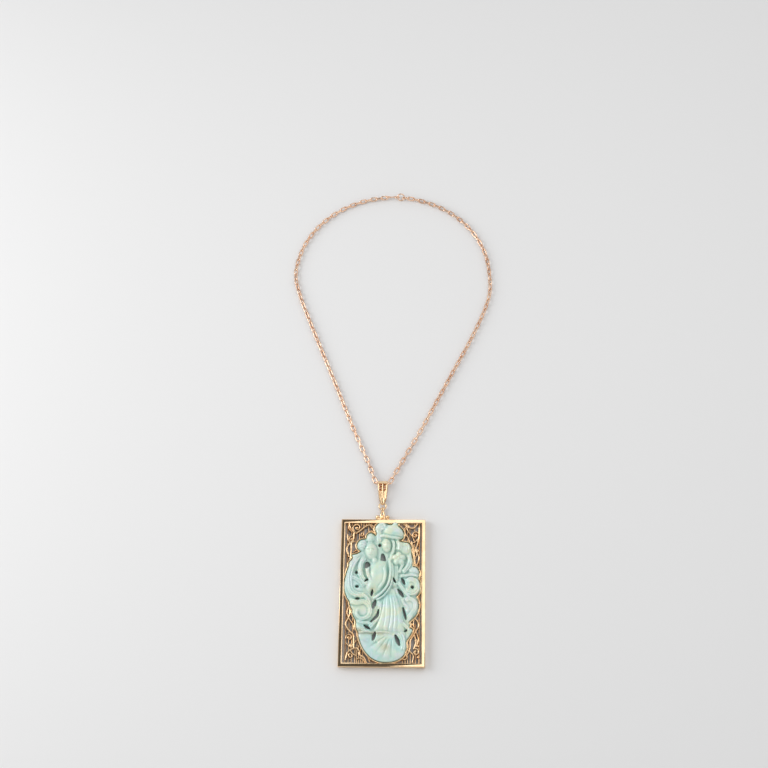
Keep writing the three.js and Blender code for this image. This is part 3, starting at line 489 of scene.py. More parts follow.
        [[[-17.9, 14.2], [-15.6, 15.2], [-13.4, 17.4]], 0.9, 0.9, 2, 3, 4.8],
    ],
    # [x, y, first angle, last angle, folds, rise, nearest, farthest]
    "mound": [5.4, -21.0, 196, 286, 5, 0.5, 3.2, 15.0],
    # [x, y, count, reach, size, low, high]
    "petals": [8.5, 17.6, 5, 1.75, 2.0, 3.6, 5.8],
    "heart": [8.5, 17.6, 1.0, 1.0, 0, 4.6, 6.0],
    # [line, half width, depth]
    "grooves": [
        [[[0.2, 26.1], [0.8, 25.8], [1.4, 26]], 0.3, 0.36],
        [[[2.4, 26], [3, 25.7], [3.6, 25.9]], 0.3, 0.36],
        [[[1.1, 23.1], [1.9, 22.8], [2.7, 23.1]], 0.25, 0.34],
        [[[-0.2, 27.4], [0.7, 27.8], [1.5, 27.4]], 0.18, 0.12],
        [[[2.4, 27.4], [3.1, 27.7], [3.9, 27.2]], 0.18, 0.12],
        [[[0.9, 21.3], [1.9, 20.8], [2.9, 21.4]], 0.25, 0.18],
        [[[-8.5, 22.6], [-7.8, 22.2], [-7.1, 22.5]], 0.3, 0.36],
        [[[-5.7, 22.7], [-5, 22.3], [-4.3, 22.7]], 0.3, 0.36],
        [[[-7.1, 19.4], [-6.3, 19.1], [-5.5, 19.4]], 0.25, 0.32],
        [[[-9.4, 23.6], [-8.2, 25.3], [-6.2, 25.8], [-3.4, 24.6]], 0.25, 0.3],
        [[[-13.6, 26.3], [-11.4, 27.3], [-9.2, 26.6]], 0.2, 0.3],
        [[[-14, 25.1], [-11.5, 26], [-8.8, 25.5]], 0.2, 0.3],
        [[[-13.8, 23.9], [-11.4, 24.7], [-9.2, 24.2]], 0.2, 0.3],
        [[[-13, 22.9], [-11.4, 23.3], [-9.7, 22.9]], 0.2, 0.3],
        [[[-8.2, 31], [-7.9, 28.6], [-8.3, 26.8]], 0.2, 0.3],
        [[[-7, 31.6], [-7, 29], [-7, 26.6]], 0.2, 0.3], [[[-5.8, 31], [-6, 28.6], [-5.6, 26.6]], 0.2, 0.3],
        [[[0.9, 33.2], [4.8, 31.4], [10.2, 31]], 0.2, 0.2],
        [[[1.6, 35.6], [5.2, 33.5], [9.6, 33]], 0.2, 0.2],
        [[[-6.4, 22.6], [-6.45, 21.6], [-6.3, 20.9]], 0.38, -0.2],
        [[[1.9, 26.1], [1.9, 25.2], [1.95, 24.3]], 0.38, -0.2],
    ],
    "warmth": [[2.2, 25, 4.5], [8.5, 19.5, 6.5], [-6.4, 20.5, 4.5], [-2, 6, 5], [-11, -8, 4], [1, -30, 4]],
    "coolness": [
        [-14.6, 15.6, 4], [-17.6, 6, 4], [-9.4, -28.6, 4], [15.6, -8, 3.6], [16.6, 10.6, 3],
        [-1.6, 35, 2.6], [4.6, -16, 3.4],
    ],
    "brownish": [[-4, -21.8, 6.5, 1.1], [-12, -20.6, 2, 1.6], [2, -29, 2.4, 2], [-5.6, 1, 1.4, 1.4]],
}


def petalDomes():
    x, y, count, reach, size, low, high = opal["petals"]
    domes = []
    for a in np.arange(count) * 360 / count + 90:
        c, s = math.cos(math.radians(a)), math.sin(math.radians(a))
        domes.append([x + reach * c, y + reach * s, size * 1.15, size, a, low, high])
    return domes + [opal["heart"]]


def higher(a, b, blend):
    return np.maximum(a, b) + np.maximum(blend - np.abs(a - b), 0) ** 2 / (4 * blend)


def opalHeight(points, outline, holes):
    depth = distanceTo(points, outline, True)[0]
    edge = np.sqrt(1 - (1 - np.minimum(1, depth / opal["rimWidth"])) ** 2)
    height = opal["rim"] + (opal["ground"] - opal["rim"]) * edge
    for dome in opal["domes"]:
        raiseDome(height, points, dome, opal["domeBlend"])
    for line, startHalf, endHalf, folds, low, high in opal["ribbons"]:
        line = smoothLine(line, 0.4)
        near = np.flatnonzero(nearLine(points, line, max(startHalf, endHalf)))
        away, along = distanceTo(points[near], line)
        u = away / (startHalf + (endHalf - startHalf) * along) * sideOfLine(points[near], line)
        touched, u, along = near[np.abs(u) < 1], u[np.abs(u) < 1], along[np.abs(u) < 1]
        warped = u + opal["foldLean"] * (1 - u ** 2) * np.sin(2.6 * u + 2.2 * along + line[0, 0])
        wave = np.abs(np.sin(math.pi * folds * (warped + 1) / 2)) ** 0.75 if folds > 1 else 1
        fade = smoothstep(along, -0.02, 0.14) * (1 - smoothstep(along, 0.86, 1.02))
        body = (1 - u ** 4) ** 0.6 * (0.62 + 0.38 * wave) * (0.25 + 0.75 * fade)
        height[touched] = higher(height[touched], low + (high - low) * body, opal["ribbonBlend"])
    for dome in petalDomes():
        raiseDome(height, points, dome, opal["petalBlend"])
    x, y, start, stop, count, rise, nearest, farthest = opal["mound"]
    reach = np.hypot(points[:, 0] - x, points[:, 1] - y)
    angle = (np.degrees(np.arctan2(points[:, 1] - y, points[:, 0] - x)) % 360 - start) / (stop - start)
    fade = opal["moundFade"]
    fan = smoothstep(reach, nearest, nearest + fade) * (1 - smoothstep(reach, farthest - fade, farthest))
    fan *= smoothstep(angle, 0, 0.06) * (1 - smoothstep(angle, 0.94, 1))
    folds = np.abs(np.sin(math.pi * count * np.clip(angle, 0, 1))) ** 0.75
    height += fan * rise * (folds - opal["moundSink"])
    cap = opal["rim"] + opal["capRise"] * np.sqrt(1 - (1 - np.minimum(1, depth / opal["capReach"])) ** 2)
    height = np.minimum(height, cap)
    for hole in holes:
        near = nearLine(points, hole, opal["holeRound"] + 0.1)
        u = 1 - np.minimum(1, distanceTo(points[near], hole, True)[0] / opal["holeRound"])
        height[near] -= opal["holeDrop"] * (1 - np.sqrt(1 - u ** 2))
    return height


# Fine lines: features, hair and pleats of the caps, cut in after the relief is eased
def grooveDepth(points):
    depth = np.zeros(len(points))
    for line, half, cut in opal["grooves"]:
        near = np.flatnonzero(nearLine(points, np.array(line), half * 3))
        distance = distanceTo(points[near], smoothLine(line, 0.2))[0]
        depth[near] += cut * np.exp(-(distance / half) ** 2)
    return depth


def raiseDome(height, points, dome, blend):
    x, y, halfAcross, halfAlong, turn, low, high = dome
    c, s = math.cos(math.radians(turn)), math.sin(math.radians(turn))
    dx, dy = points[:, 0] - x, points[:, 1] - y
    u = np.hypot((dx * c + dy * s) / halfAcross, (dy * c - dx * s) / halfAlong)
    near = u < 1
    height[near] = higher(height[near], low + (high - low) * np.maximum(0, 1 - u[near] ** 2) ** 0.6, blend)


# Side of a line that each point lies on, from the piece of the line that is nearest
def sideOfLine(points, line):
    nearest = np.full(len(points), np.inf)
    side = np.ones(len(points))
    for a, b in zip(line, line[1:]):
        edge = b - a
        offset = points - a
        t = np.clip(offset @ edge / (edge @ edge), 0, 1)
        distance = np.linalg.norm(offset - t[:, None] * edge, axis=1)
        closer = distance < nearest
        nearest = np.where(closer, distance, nearest)
        side = np.where(closer, np.sign(edge[0] * offset[:, 1] - edge[1] * offset[:, 0]), side)
    return side


def nearLine(points, line, reach):
    low, high = line.min(axis=0) - reach, line.max(axis=0) + reach
    return np.all((points >= low) & (points <= high), axis=1)


def capsule(line, half, step):
    line = smoothLine(line, step)
    along = unit(np.gradient(line, axis=0))
    t = np.linspace(0, 1, len(line))[:, None]
    ends, swell = opal["slotTaper"] if len(line) > 6 else (1, 0)
    taper = ends + swell * np.sin(math.pi * t)
    side = np.stack([-along[:, 1], along[:, 0]], axis=1) * half * taper
    turns = np.radians(np.arange(15, 180, 15))
    outline = [*(line - side)]
    for angle in turns:
        outline.append(line[-1] - side[-1] * math.cos(angle) + along[-1] * half * math.sin(angle))
    outline += [*(line + side)[::-1]]
    for angle in turns:
        outline.append(line[0] + side[0] * math.cos(angle) - along[0] * half * math.sin(angle))
    return evenly(np.array([*outline, outline[0]]), step)[:-1]


# Soft spots, each [x, y, radius] or [x, y, half width, half height]
def softSpots(x, y, spots):
    return sum(np.exp(-((x - spot[0]) / spot[2]) ** 2 - ((y - spot[1]) / spot[-1]) ** 2) for spot in spots)


# Tints kept on the mesh: warm figures, cool scarves, brown seams, a painted highlight on ridges, painted
# shade in valleys and at the back of the pierced walls
def addTints(mesh, points, faces, holes):
    x, y, z = points.T
    triangles = np.array([face for face in faces if len(face) == 3])
    # Ridges get a painted highlight and valleys painted shade from this relief
    relief = eased(z, triangles, 2) - eased(z, triangles, 60)
    # Painted shade at the back of the pierced walls
    piercedShade = np.zeros(len(points))
    for hole in holes:
        near = np.flatnonzero(nearLine(points[:, :2], hole, 0.02) & (z < opal["back"] + 0.01))
        piercedShade[near[distanceTo(points[near, :2], hole, True)[0] < 0.01]] = 1
    tints = {name: softSpots(x, y, opal[name]) for name in ("warmth", "coolness", "brownish")}
    tints |= {"ridgeHighlight": relief / opal["relief"], "valleyShade": -relief / opal["relief"], "piercedShade": piercedShade}
    for name, value in tints.items():
        addAttribute(mesh, name, np.clip(value, 0, 1))


def addOpal():
    lobes = [smoothLine(lobe, opal["step"]) for lobe in opal["outline"]]
    outline = np.vstack([lobe[:-1] for lobe in lobes])
    holes = [capsule(line, half, 0.2) for line, half in opal["slots"]]
    holes += [smoothLine([*corners, corners[0]], 0.2)[:-1] for corners in opal["corners"]]
    if area(outline) < 0:
        outline = outline[::-1]
    points, faces = reliefSolid(
        outline, holes, opal["pitch"], lambda flat: opalHeight(flat, outline, holes), opal["back"],
        opal["edgeRings"], (), 2, grooveDepth)
    piece = makePiece("carvedOpal", points, faces, palePolishedOpal, "opal", opal["sharp"])
    addTints(piece.data, points, faces, holes)
    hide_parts("opal_carving")
    return outline


opalOutline = addOpal()
print("carved opal ready")


# Gold frame: a mirror-polished border, a bezel that follows the opal, and openwork in the corners

goldFrame = {
    # [share of the half width, rise of the top, share of the width at the ends]
    "strokes": {
        "vines": [1.35, 0, 0.8], "fineVines": [1.05, -0.1, 0.6], "bars": [0.8, -0.9, 1],
        "curls": [1.15, 0.05, 0.75],
    },
    "depth": 3.8, "band": 2.1, "bevel": 0.25, "step": 0.3, "half": 0.35, "low": 0.9, "high": 3.1,
    # Recess: depths below the stroke tops over which the painted shade grows
    "beadHeight": 2.2, "beadHalf": 1.1, "recessShade": (0.35, 1.3), "barStep": 1.5,
    "bezelRings": (0.12, 0.3, 0.5, 0.7, 0.88), "sharp": 40,
    "gap": 0.3, "wall": 0.75, "bezelRound": 0.36, "bezelTop": 3.4, "ledge": 0.7, "ledgeTop": 0.45,
    "vines": [
        [[-18.7, 37.6], [-17.6, 34.2], [-15.2, 31.9], [-12.4, 33.4], [-9.8, 35.6], [-7.2, 36.4],
         [-4.6, 35]],
        [[-19.4, 31], [-18.9, 27.8], [-17.4, 26.9], [-16.2, 28.2], [-15.8, 32.2]],
        [[-15.6, 27.4], [-18.6, 25.4], [-19.6, 22.6], [-18.2, 18.6]],
        [[-17.2, 27], [-17.2, 21], [-17.8, 16.6]], [[11, 36.8], [13.8, 35.1], [16.4, 34.9], [18.9, 37.6]],
        [[19.4, 35], [19.3, 30], [18.3, 25.5], [17.4, 22.4], [19.3, 18.9], [18.2, 14.2]],
        [[15.2, 27.4], [16.6, 22.5], [16.9, 18], [17.6, 13.4]],
        [[-17.6, -6], [-17.2, -12], [-19.2, -17.2], [-17.4, -20.4], [-15.1, -22.5], [-14.7, -26.4],
         [-14.6, -29.8]],
        [[-18.9, -35.6], [-17.4, -31.2], [-13.2, -29.4], [-11.7, -31.2], [-11.3, -33.1], [-9.3, -34.2],
         [-7.6, -37.4]],
        [[16.9, -13.4], [18.6, -15.2], [19.3, -17.6], [18, -20.1], [16.6, -22.6], [15.1, -25.2],
         [14.8, -29.6], [12.8, -33.6]],
        [[16.9, -22.4], [17.9, -26.2], [16.8, -29.6]],
    ],
    "fineVines": [
        [[-9.8, 28.9], [-9.2, 31.2], [-7, 32.9], [-4.9, 32], [-3.9, 30.6]],
        [[-19.4, 30.4], [-18.2, 30], [-16.6, 30.4], [-15.8, 32]],
        [[-16, 27], [-18.3, 26.4], [-19.6, 23.4], [-18.3, 20]], [[-16, 21.3], [-14.2, 22.6], [-12.2, 21.9]],
        [[-18.4, 37.4], [-18.8, 34.6], [-17.2, 32.4]],
        [[-8, 36.9], [-6.6, 35.2], [-5.2, 33.4], [-4.6, 31.4]],
        [[11.4, 34.8], [12, 31.6], [13.6, 29], [14.4, 26.2]],
        [[12.4, 36.9], [13.2, 33.4], [15.6, 30.2], [17, 27]],
        [[16.2, 25.6], [17.8, 23.2], [18.2, 20.4], [16.9, 17.4]],
        [[18.9, 29.4], [17.2, 27.2], [15.4, 26.6]],
        [[-17.8, -8], [-18.6, -11], [-17.6, -14], [-15.8, -16.4]],
        [[-16.9, -15.2], [-15.2, -17.6], [-14.6, -20.4]],
        [[-19, -26.6], [-17.2, -28.2], [-15, -27.6], [-13.4, -25.4]],
        [[-16.8, -30.2], [-14.8, -32.6], [-12.8, -33.4]], [[-7.6, -33.4], [-6.8, -34.8], [-6, -36.6]],
        [[-13.2, -35.4], [-11.4, -34.6], [-9.6, -35.4], [-8.6, -36.8]],
        [[17, -13.8], [16.6, -17.4], [17.6, -20.2], [18.9, -22.6]],
        [[18.6, -22.4], [19.2, -25.4], [18, -28.6]],
        [[13.6, -30.4], [15.6, -31.6], [16.6, -33.6], [16, -36.6]],
        [[10.6, -34.8], [12.4, -35], [13.8, -33.4]],
    ],
    # [x, foot, top]
    "bars": [
        [-19.3, 11, 37.6], [-14.8, 26.6, 32.2], [-12.9, 28, 33.4], [-10.6, 28.8, 37.6], [-8, 31.6, 37.6],
        [19.4, 12.4, 37.6], [12, 31.4, 37.6], [14.4, 26, 35.2], [-19.1, -37.4, -3], [-17.4, -37.4, -30.8],
        [-15.8, -37.4, -21.6], [-13.9, -37.4, -28.8], [-12, -37.4, -28], [-10, -37.4, -31],
        [19.5, -37.4, -2], [16.4, -37.4, -32.2], [13.6, -37.4, -31.4], [11, -37.4, -33.8],
        [-17.1, 17, 37.4], [-12, 33.6, 37.4], [-9.3, 34.8, 37.4], [-6.4, 35.6, 37.4], [13.2, 27, 37.2],
        [17, 24, 37.2], [15.6, 18.6, 26.4], [18.6, 6, 15], [-17.4, -30.4, -9], [-15.6, -21, -13.4],
        [-12.9, -37.2, -23], [-11, -37.2, -28.6], [17.6, -37.2, -16.4], [15, -37.2, -21.6],
        [12.3, -37.2, -32.6],
    ],
    # [x, y, outer radius, inner radius, start, sweep]
    "curls": [
        [-14.3, 34.8, 2.5, 0.5, 250, -460], [17.3, 31, 1.9, 0.45, 10, 450],
        [-17.2, -24, 1.8, 0.4, 200, -450], [17.8, -31.2, 1.9, 0.4, 130, -450],
        [-16, -33.4, 1.3, 0.35, 100, 360], [-17.4, 28.8, 1.2, 0.4, 60, 330], [-16, -28.4, 1.1, 0.4, 0, 400],
        [18.2, 22.4, 1, 0.35, 150, 360], [13, 35.6, 1, 0.35, -60, 360], [-11.4, 31.2, 1.1, 0.35, 200, 380],
        [18.3, -25.6, 0.9, 0.35, 90, 380],
    ],
    # [x, y, radius]
    "beads": [
        [18, 14.6, 0.75], [19.2, -28.3, 0.7], [19, -33.8, 0.8], [-16, -28.4, 0.6], [15.5, -17, 0.9],
        [-14.3, 34.8, 0.7], [17.3, 31, 0.55], [-17.2, -24, 0.5], [17.8, -31.2, 0.5], [-3.9, 30.6, 0.45],
    ],
}


def joinedParts(parts):
    points, faces, start = [], [], 0
    for partPoints, partFaces in parts:
        points.append(np.array(partPoints, dtype=float))
        faces += [tuple(start + i for i in face) for face in partFaces]
        start += len(partPoints)
    return np.vstack(points), faces


# Skin over rows of points that follow each other, closed by a face at each end
def skinned(rows, closed=False):
    count = len(rows[0])
    points = np.vstack(rows)
    faces = []
    for i in range(len(rows) - (0 if closed else 1)):
        a, b = i * count, (i + 1) % len(rows) * count
        faces += [(a + k, b + k, b + (k + 1) % count, a + (k + 1) % count) for k in range(count)]
    if not closed:
        faces += [tuple(range(count)), tuple(reversed(range(len(points) - count, len(points))))]
    return points, faces


def turnedOver(points, faces):
    return points, [tuple(reversed(face)) for face in faces]


def unitCircle(sides):
    turn = np.linspace(0, 2 * math.pi, sides, endpoint=False)
    return np.stack([np.cos(turn), np.sin(turn), 0 * turn], axis=1)


def lineDirections(line, closed=False):
    if closed:
        return unit(np.roll(line, -1, axis=0) - np.roll(line, 1, axis=0))
    return unit(np.gradient(line, axis=0))


def lineNormals(line, closed=False):
    along = lineDirections(line, closed)
    return np.stack([-along[:, 1], along[:, 0]], axis=1)


# Stroke of the openwork: upright sides and a domed top, narrower at its ends
def stroke(line, half, low, high, endShare):
    line = np.array(line)
    t = np.linspace(0, 1, len(line))
    width = half * (endShare + (1 - endShare) * np.sqrt(np.maximum(0, 1 - (2 * t - 1) ** 2)))
    side = lineNormals(line)
    dome = [(1, high - 0.55), (0.92, high - 0.33), (0.7, high - 0.15), (0.38, high - 0.04), (0, high)]
    section = [(-1, low), (1, low), *dome, *((-a, z) for a, z in reversed(dome[:-1]))]
    rows = [[[*(p + n * w * a), z] for a, z in section] for p, n, w in zip(line, side, width)]
    return turnedOver(*skinned(np.array(rows)))


def ball(centre, radii):
    rows = []
    for a in math.pi * np.linspace(0.02, 0.98, 11):
        row = unitCircle(16) * math.sin(a) + [0, 0, math.cos(a)]
        rows.append(np.array(centre) + np.array(radii) * row)
    return skinned(rows)


# Round wire along a line in space
def tube(line, radius, sides=12, closed=False):
    line = np.array(line, dtype=float)
    rows = []
    side = None
    for p, a, r in zip(line, lineDirections(line, closed), np.broadcast_to(radius, len(line))):
        if side is None:
            side = np.cross(a, (0, 0, 1) if abs(a[2]) < 0.9 else (1, 0, 0))
        side = side - a * (side @ a)
        side /= np.linalg.norm(side)
        up = np.cross(side, a)
        turn = np.linspace(0, 2 * math.pi, sides, endpoint=False)[:, None]
        rows.append(p + r * (np.cos(turn) * side + np.sin(turn) * up))
    return skinned(rows, closed)


def borderPart():
    w, h = frameSize["width"] / 2, frameSize["height"] / 2
    d, b, band = goldFrame["depth"], goldFrame["bevel"], goldFrame["band"]
    soft = b * 0.32
    section = [(0, b), (b, 0), (band - b, 0), (band, b), (band, d - b), (band - soft, d - soft),
               (band - b, d), (b, d), (soft, d - soft), (0, d - b)]
    rows = []
    for sx, sy in [(-1, -1), (1, -1), (1, 1), (-1, 1)]:
        rows.append([[sx * (w - inset), sy * (h - inset), z] for inset, z in section])
    return turnedOver(*skinned(np.array(rows), True))


def bezelPart():
    gap, wall, top = goldFrame["gap"], goldFrame["wall"], goldFrame["bezelTop"]
    outer = offsetOutline(opalOutline, gap + wall)
    inner = offsetOutline(opalOutline, gap)
    rings = [offsetOutline(opalOutline, gap + share * wall) for share in goldFrame["bezelRings"]]

    def wallTop(flat):
        u = 1 - 2 * np.minimum(distanceTo(flat, outer, True)[0], distanceTo(flat, inner, True)[0]) / wall
        return top - goldFrame["bezelRound"] * (1 - np.sqrt(np.maximum(0, 1 - u ** 2)))

    upper = reliefSolid(outer, [inner], 9, wallTop, 0, (), rings)
    ledgeInner = offsetOutline(opalOutline, -goldFrame["ledge"])
    ledge = reliefSolid(outer, [ledgeInner], 1.2, lambda flat: np.full(len(flat), goldFrame["ledgeTop"]), 0)
    return [upper, ledge]


# Eye, ring and bail
hanging = {
    "eye": [-0.6, 45.2, 1.6], "ring": [-0.7, 47.15, 1.6], "ringRadius": 1.9,
    "ringWire": 0.35, "bailX": -0.7, "strip": 0.62, "sharp": 50,
    "sideRib": 0.31, "middleRib": 0.25, "ribGroove": 0.16,
    "frontAbove": 2.6, "slotFoot": 50.6, "slotTop": 60.1, "lowest": 0.1,
    "halfAt": [[47.5, 0.7], [48.45, 0.72], [49.2, 1.25], [50.6, 1.9], [53, 2.25], [59, 2.7], [61.4, 2.45]],
    "side": [
        [47.8, 1.6], [48.2, 0.6], [51.6, 0.1], [58.9, 0.1], [60.6, 0.9], [61.2, 2.4], [60.6, 3.9],
        [59, 4.75], [57.2, 4.6], [53, 3.7], [49, 2.75], [48.1, 2.4],
    ],
}


# Crest, with X and Z measured from the eye; limbs and side balls stand on both sides
crest = {
    # [line, lift, radius, swelling, sides]
    "limbs": [
        [[[0.8, 38.3], [1, 40.2], [0.9, 42.2], [0.35, 44.3]], 0.1, 0.5, 0, 12],
        [[[0.5, 38.9], [2.2, 39.9], [3.4, 39.3], [4.3, 38.6]], 0.4, 0.34, 0.36, 12],
        [[[1.9, 39.2], [2.75, 40.9]], 0.3, 0.3, 0, 10],
    ],
    # [x, y, lift, three radii]
    "sideBalls": [[2.75, 40.95, 0.25, 1.08, 1.08, 1.15], [4.3, 38.9, 0.4, 0.5, 0.5, 0.6]],
    "middleBalls": [[0, 39.1, 0.5, 0.8, 0.7, 0.8], [0, 41.1, 0.3, 0.7, 1.3, 0.8]],
    "eye": [[0.7, 0.45], [0.78, 0.66], [0.95, 0.76], [1.18, 0.66], [1.3, 0.34], [1.33, 0]],
}


def crestParts():
    x, y, z = hanging["eye"]
    parts = []
    for side in (-1, 1):
        for line, lift, radius, swelling, sides in crest["limbs"]:
            line = smoothLine([[x + side * across, along] for across, along in line], 0.2)
            swelling = swelling * np.sin(math.pi * np.linspace(0, 1, len(line)))
            parts.append(tube(np.c_[line, np.full(len(line), z + lift)], radius + swelling, sides))
        for across, along, lift, *radii in crest["sideBalls"]:
            parts.append(ball((x + side * across, along, z + lift), radii))
    for across, along, lift, *radii in crest["middleBalls"]:
        parts.append(ball((x + across, along, z + lift), radii))
    profile = [*crest["eye"], *([r, -across] for r, across in reversed(crest["eye"][:-1]))]
    rows = []
    for a in np.linspace(0, 2 * math.pi, 32, endpoint=False):
        rows.append([[x + across, y + r * math.cos(a), z + r * math.sin(a)] for r, across in profile])
    return [*parts, turnedOver(*skinned(np.array(rows), True))]


def clippedInside(points):
    w, h = frameSize["width"] / 2 - 1.0, frameSize["height"] / 2 - 1.0
    return np.clip(points, (-w, -h, -9), (w, h, 9))


def openworkParts():
    low, high, half, step = (goldFrame[k] for k in ("low", "high", "half", "step"))
    lines = {kind: [smoothLine(line, step) for line in goldFrame[kind]] for kind in ("vines", "fineVines")}
    lines["bars"] = [
        smoothLine([[x, foot], [x, top]], goldFrame["barStep"]) for x, foot, top in goldFrame["bars"]]
    lines["curls"] = [spiral(*curl) for curl in goldFrame["curls"]]
    parts = []
    for kind, (share, rise, ends) in goldFrame["strokes"].items():
        parts += [stroke(line, half * share, low, high + rise, ends) for line in lines[kind]]
    for x, y, r in goldFrame["beads"]:
        parts.append(ball((x, y, goldFrame["beadHeight"]), (r, r, goldFrame["beadHalf"])))
    return [(clippedInside(points), faces) for points, faces in parts]


def addGoldFrame():
    groups = [([borderPart(), *bezelPart()], 0), (openworkParts(), 1), (crestParts(), 0)]
    points, faces = joinedParts([part for group, paintedShade in groups for part in group])
    # Painted shade: openwork strokes darken with their depth below the tops; border, bezel and crest get
    # none
    recessShade = []
    for group, paintedShade in groups:
        below = [goldFrame["high"] - part[0][:, 2] for part in group]
        recessShade += [paintedShade * smoothstep(depth, *goldFrame["recessShade"]) for depth in below]
    piece = makePiece("openworkFrame", points, faces, polishedGold, "gold", goldFrame["sharp"])
    addAttribute(piece.data, "recessShade", np.concatenate(recessShade))
    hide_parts("gold_frame")


addGoldFrame()
print("gold frame ready")


# Ring and bail: a strip bent to a drop, with three ribs and two long slots in front

def addBail():
    circle = unitCircle(64) * hanging["ringRadius"] + hanging["ring"]
    ring = makePiece("bailRing", *tube(circle, hanging["ringWire"], 14, True), polishedGold, "gold")
    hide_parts("bail_ring")
    side = np.array(hanging["side"])
    path = smoothLine([*side[-2:], *side, *side[:2]], 0.25)
    start = np.argmin(np.linalg.norm(path[:len(path) // 3] - side[0], axis=1))
    stop = len(path) // 2 + np.argmin(np.linalg.norm(path[len(path) // 2:] - side[0], axis=1))
    path = path[start:stop]
    path[:, 1] = np.maximum(path[:, 1], hanging["lowest"])
    inward = lineNormals(path, True)
    half = np.interp(path[:, 0], *np.transpose(hanging["halfAt"]))
    y, z = path.T
    front = (z > hanging["frontAbove"]) & (y > hanging["slotFoot"]) & (y < hanging["slotTop"])
    first, last = np.flatnonzero(front)[[0, -1]]
    back = [*range(last - 3, len(path)), *range(0, first + 4)]
    parts = [bailStrip(path[back], inward[back], -half[back], half[back], 3)]
    ribs = range(first - 3, last + 4)
    for share in (-1, 0, 1):
        middle = share * (half[ribs] - hanging["sideRib"])
        width = np.full(len(ribs), hanging["sideRib"] if share else hanging["middleRib"])
        parts.append(bailStrip(path[ribs], inward[ribs], middle - width, middle + width, 1))
    bail = makePiece("threeRibBail", *joinedParts(parts), polishedGold, "gold", hanging["sharp"])
    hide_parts("bail")


def bailStrip(path, inward, left, right, ribs):
    thick = hanging["strip"]
    rows = []
    for (y, z), (ny, nz), a, b in zip(path, inward, left, right):
        row = []
        for t in np.linspace(0, 1, 8 * ribs + 1):
            out = hanging["ribGroove"] * (1 - np.abs(np.sin(math.pi * t * ribs)) ** 0.6)
            row.append([hanging["bailX"] + a + (b - a) * t, y + ny * out, z + nz * out])
        for t in (1, 0.5, 0):
            row.append([hanging["bailX"] + a + (b - a) * t, y + ny * thick, z + nz * thick])
        rows.append(row)
    return skinned(np.array(rows))


addBail()
print("ring and bail ready")


# Cable chain: oval links of round wire, each passed through its neighbours

chain = {
    "wire": 0.75, "width": 2.65, "length": 4.8, "links": 68, "lean": 45, "leanStart": 10, "settled": 70,
    "bailLinkShift": 0.2,
    "lift": 0.02, "bailHeight": 2.35, "bailRise": 16, "claspHeight": 1.85, "claspRise": 12,
    "left": [
        [-2.35, 57.9], [-4.6, 60.4], [-6.1, 64.2], [-8.5, 70.8], [-13.4, 82], [-17.1, 90.5],
        [-22.7, 103.9], [-27.9, 116.9], [-36.5, 137.6], [-44.5, 157], [-51.2, 174.4], [-54.4, 187.5],
    ],
    "right": [
        [0.5, 57.9], [3.2, 60.4], [5.1, 64.1], [8.5, 70.3], [15.5, 82.8], [20.8, 92.4], [27.3, 105.1],
        [39.4, 128.6], [49.4, 148], [58, 168], [60.4, 177.6], [60.4, 187.5],
    ],
    "leftShort": 3.84, "rightShort": 5.79, "backCentre": [3.0, 187.5], "backHalf": [57.3, 52.9],
}


def leanAt(distance):
    return math.radians(chain["lean"]) * smoothstep(distance, chain["leanStart"], chain["settled"])


def chainContacts(route, sign, short):
    angles = np.radians(np.arange(15, 91, 15))
    back = np.stack([sign * np.cos(angles), np.sin(angles)], axis=1) * chain["backHalf"]
    line = smoothLine(np.vstack([route, back + chain["backCentre"]]), 0.05)
    travelled = np.r_[0, np.cumsum(np.linalg.norm(np.diff(line, axis=0), axis=1))]
    distance = np.linspace(0, travelled[-1] - short, chain["links"] + 1)
    roll = leanAt(distance)
    height = chain["width"] / 2 * np.cos(roll) + chain["wire"] / 2 * np.sin(roll) + chain["lift"]
    for level, away in (("bail", distance), ("clasp", distance[-1] - distance)):
        start = chain[level + "Height"]
        height = start + (height - start) * smoothstep(away, 1, chain[level + "Rise"])
    x, y = (np.interp(distance, travelled, line[:, k]) for k in (0, 1))
    return np.stack([x, y, height], axis=1), distance


def linkPlaces():
    places, turns = [], []
    for side, sign in (("left", -1), ("right", 1)):
        contacts, distance = chainContacts(chain[side], sign, chain[side + "Short"])
        middles = (contacts[1:] + contacts[:-1]) / 2
        rolls = leanAt((distance[1:] + distance[:-1]) / 2)
        for k, (middle, along, roll) in enumerate(zip(middles, contacts[1:] - contacts[:-1], rolls)):
            turned = roll + (math.pi / 2 if k % 2 == 0 else 0)
            places.append(middle)
            turns.append(linkTurn(Vector(along).normalized(), turned))
    pitch = chain["length"] - 2 * chain["wire"]
    x, y = chain["left"][0]
    places.append([x + pitch / 2 - chain["bailLinkShift"], y, chain["bailHeight"]])
    turns.append(linkTurn(Vector((-1, 0, 0)), 0))
    return np.array(places), turns


def linkTurn(along, roll):
    sideways = Vector((0, 0, 1)).cross(along).normalized()
    matrix = Matrix((along, sideways, along.cross(sideways))).transposed() @ Matrix.Rotation(roll, 3, "X")
    return tuple(matrix.to_euler())


def linkMesh():
    half = (chain["width"] - chain["wire"]) / 2
    straight = (chain["length"] - chain["width"]) / 2
    turn = np.linspace(-math.pi / 2, math.pi / 2, 11)
    right = np.stack([straight + half * np.cos(turn), half * np.sin(turn), 0 * turn], axis=1)
    line = np.vstack([right, right * [-1, -1, 1]])
    points, faces = tube(line, chain["wire"] / 2, 10, True)
    return bpy.data.objects.new("chainLink", newMesh("chainLink", points * mm, faces))


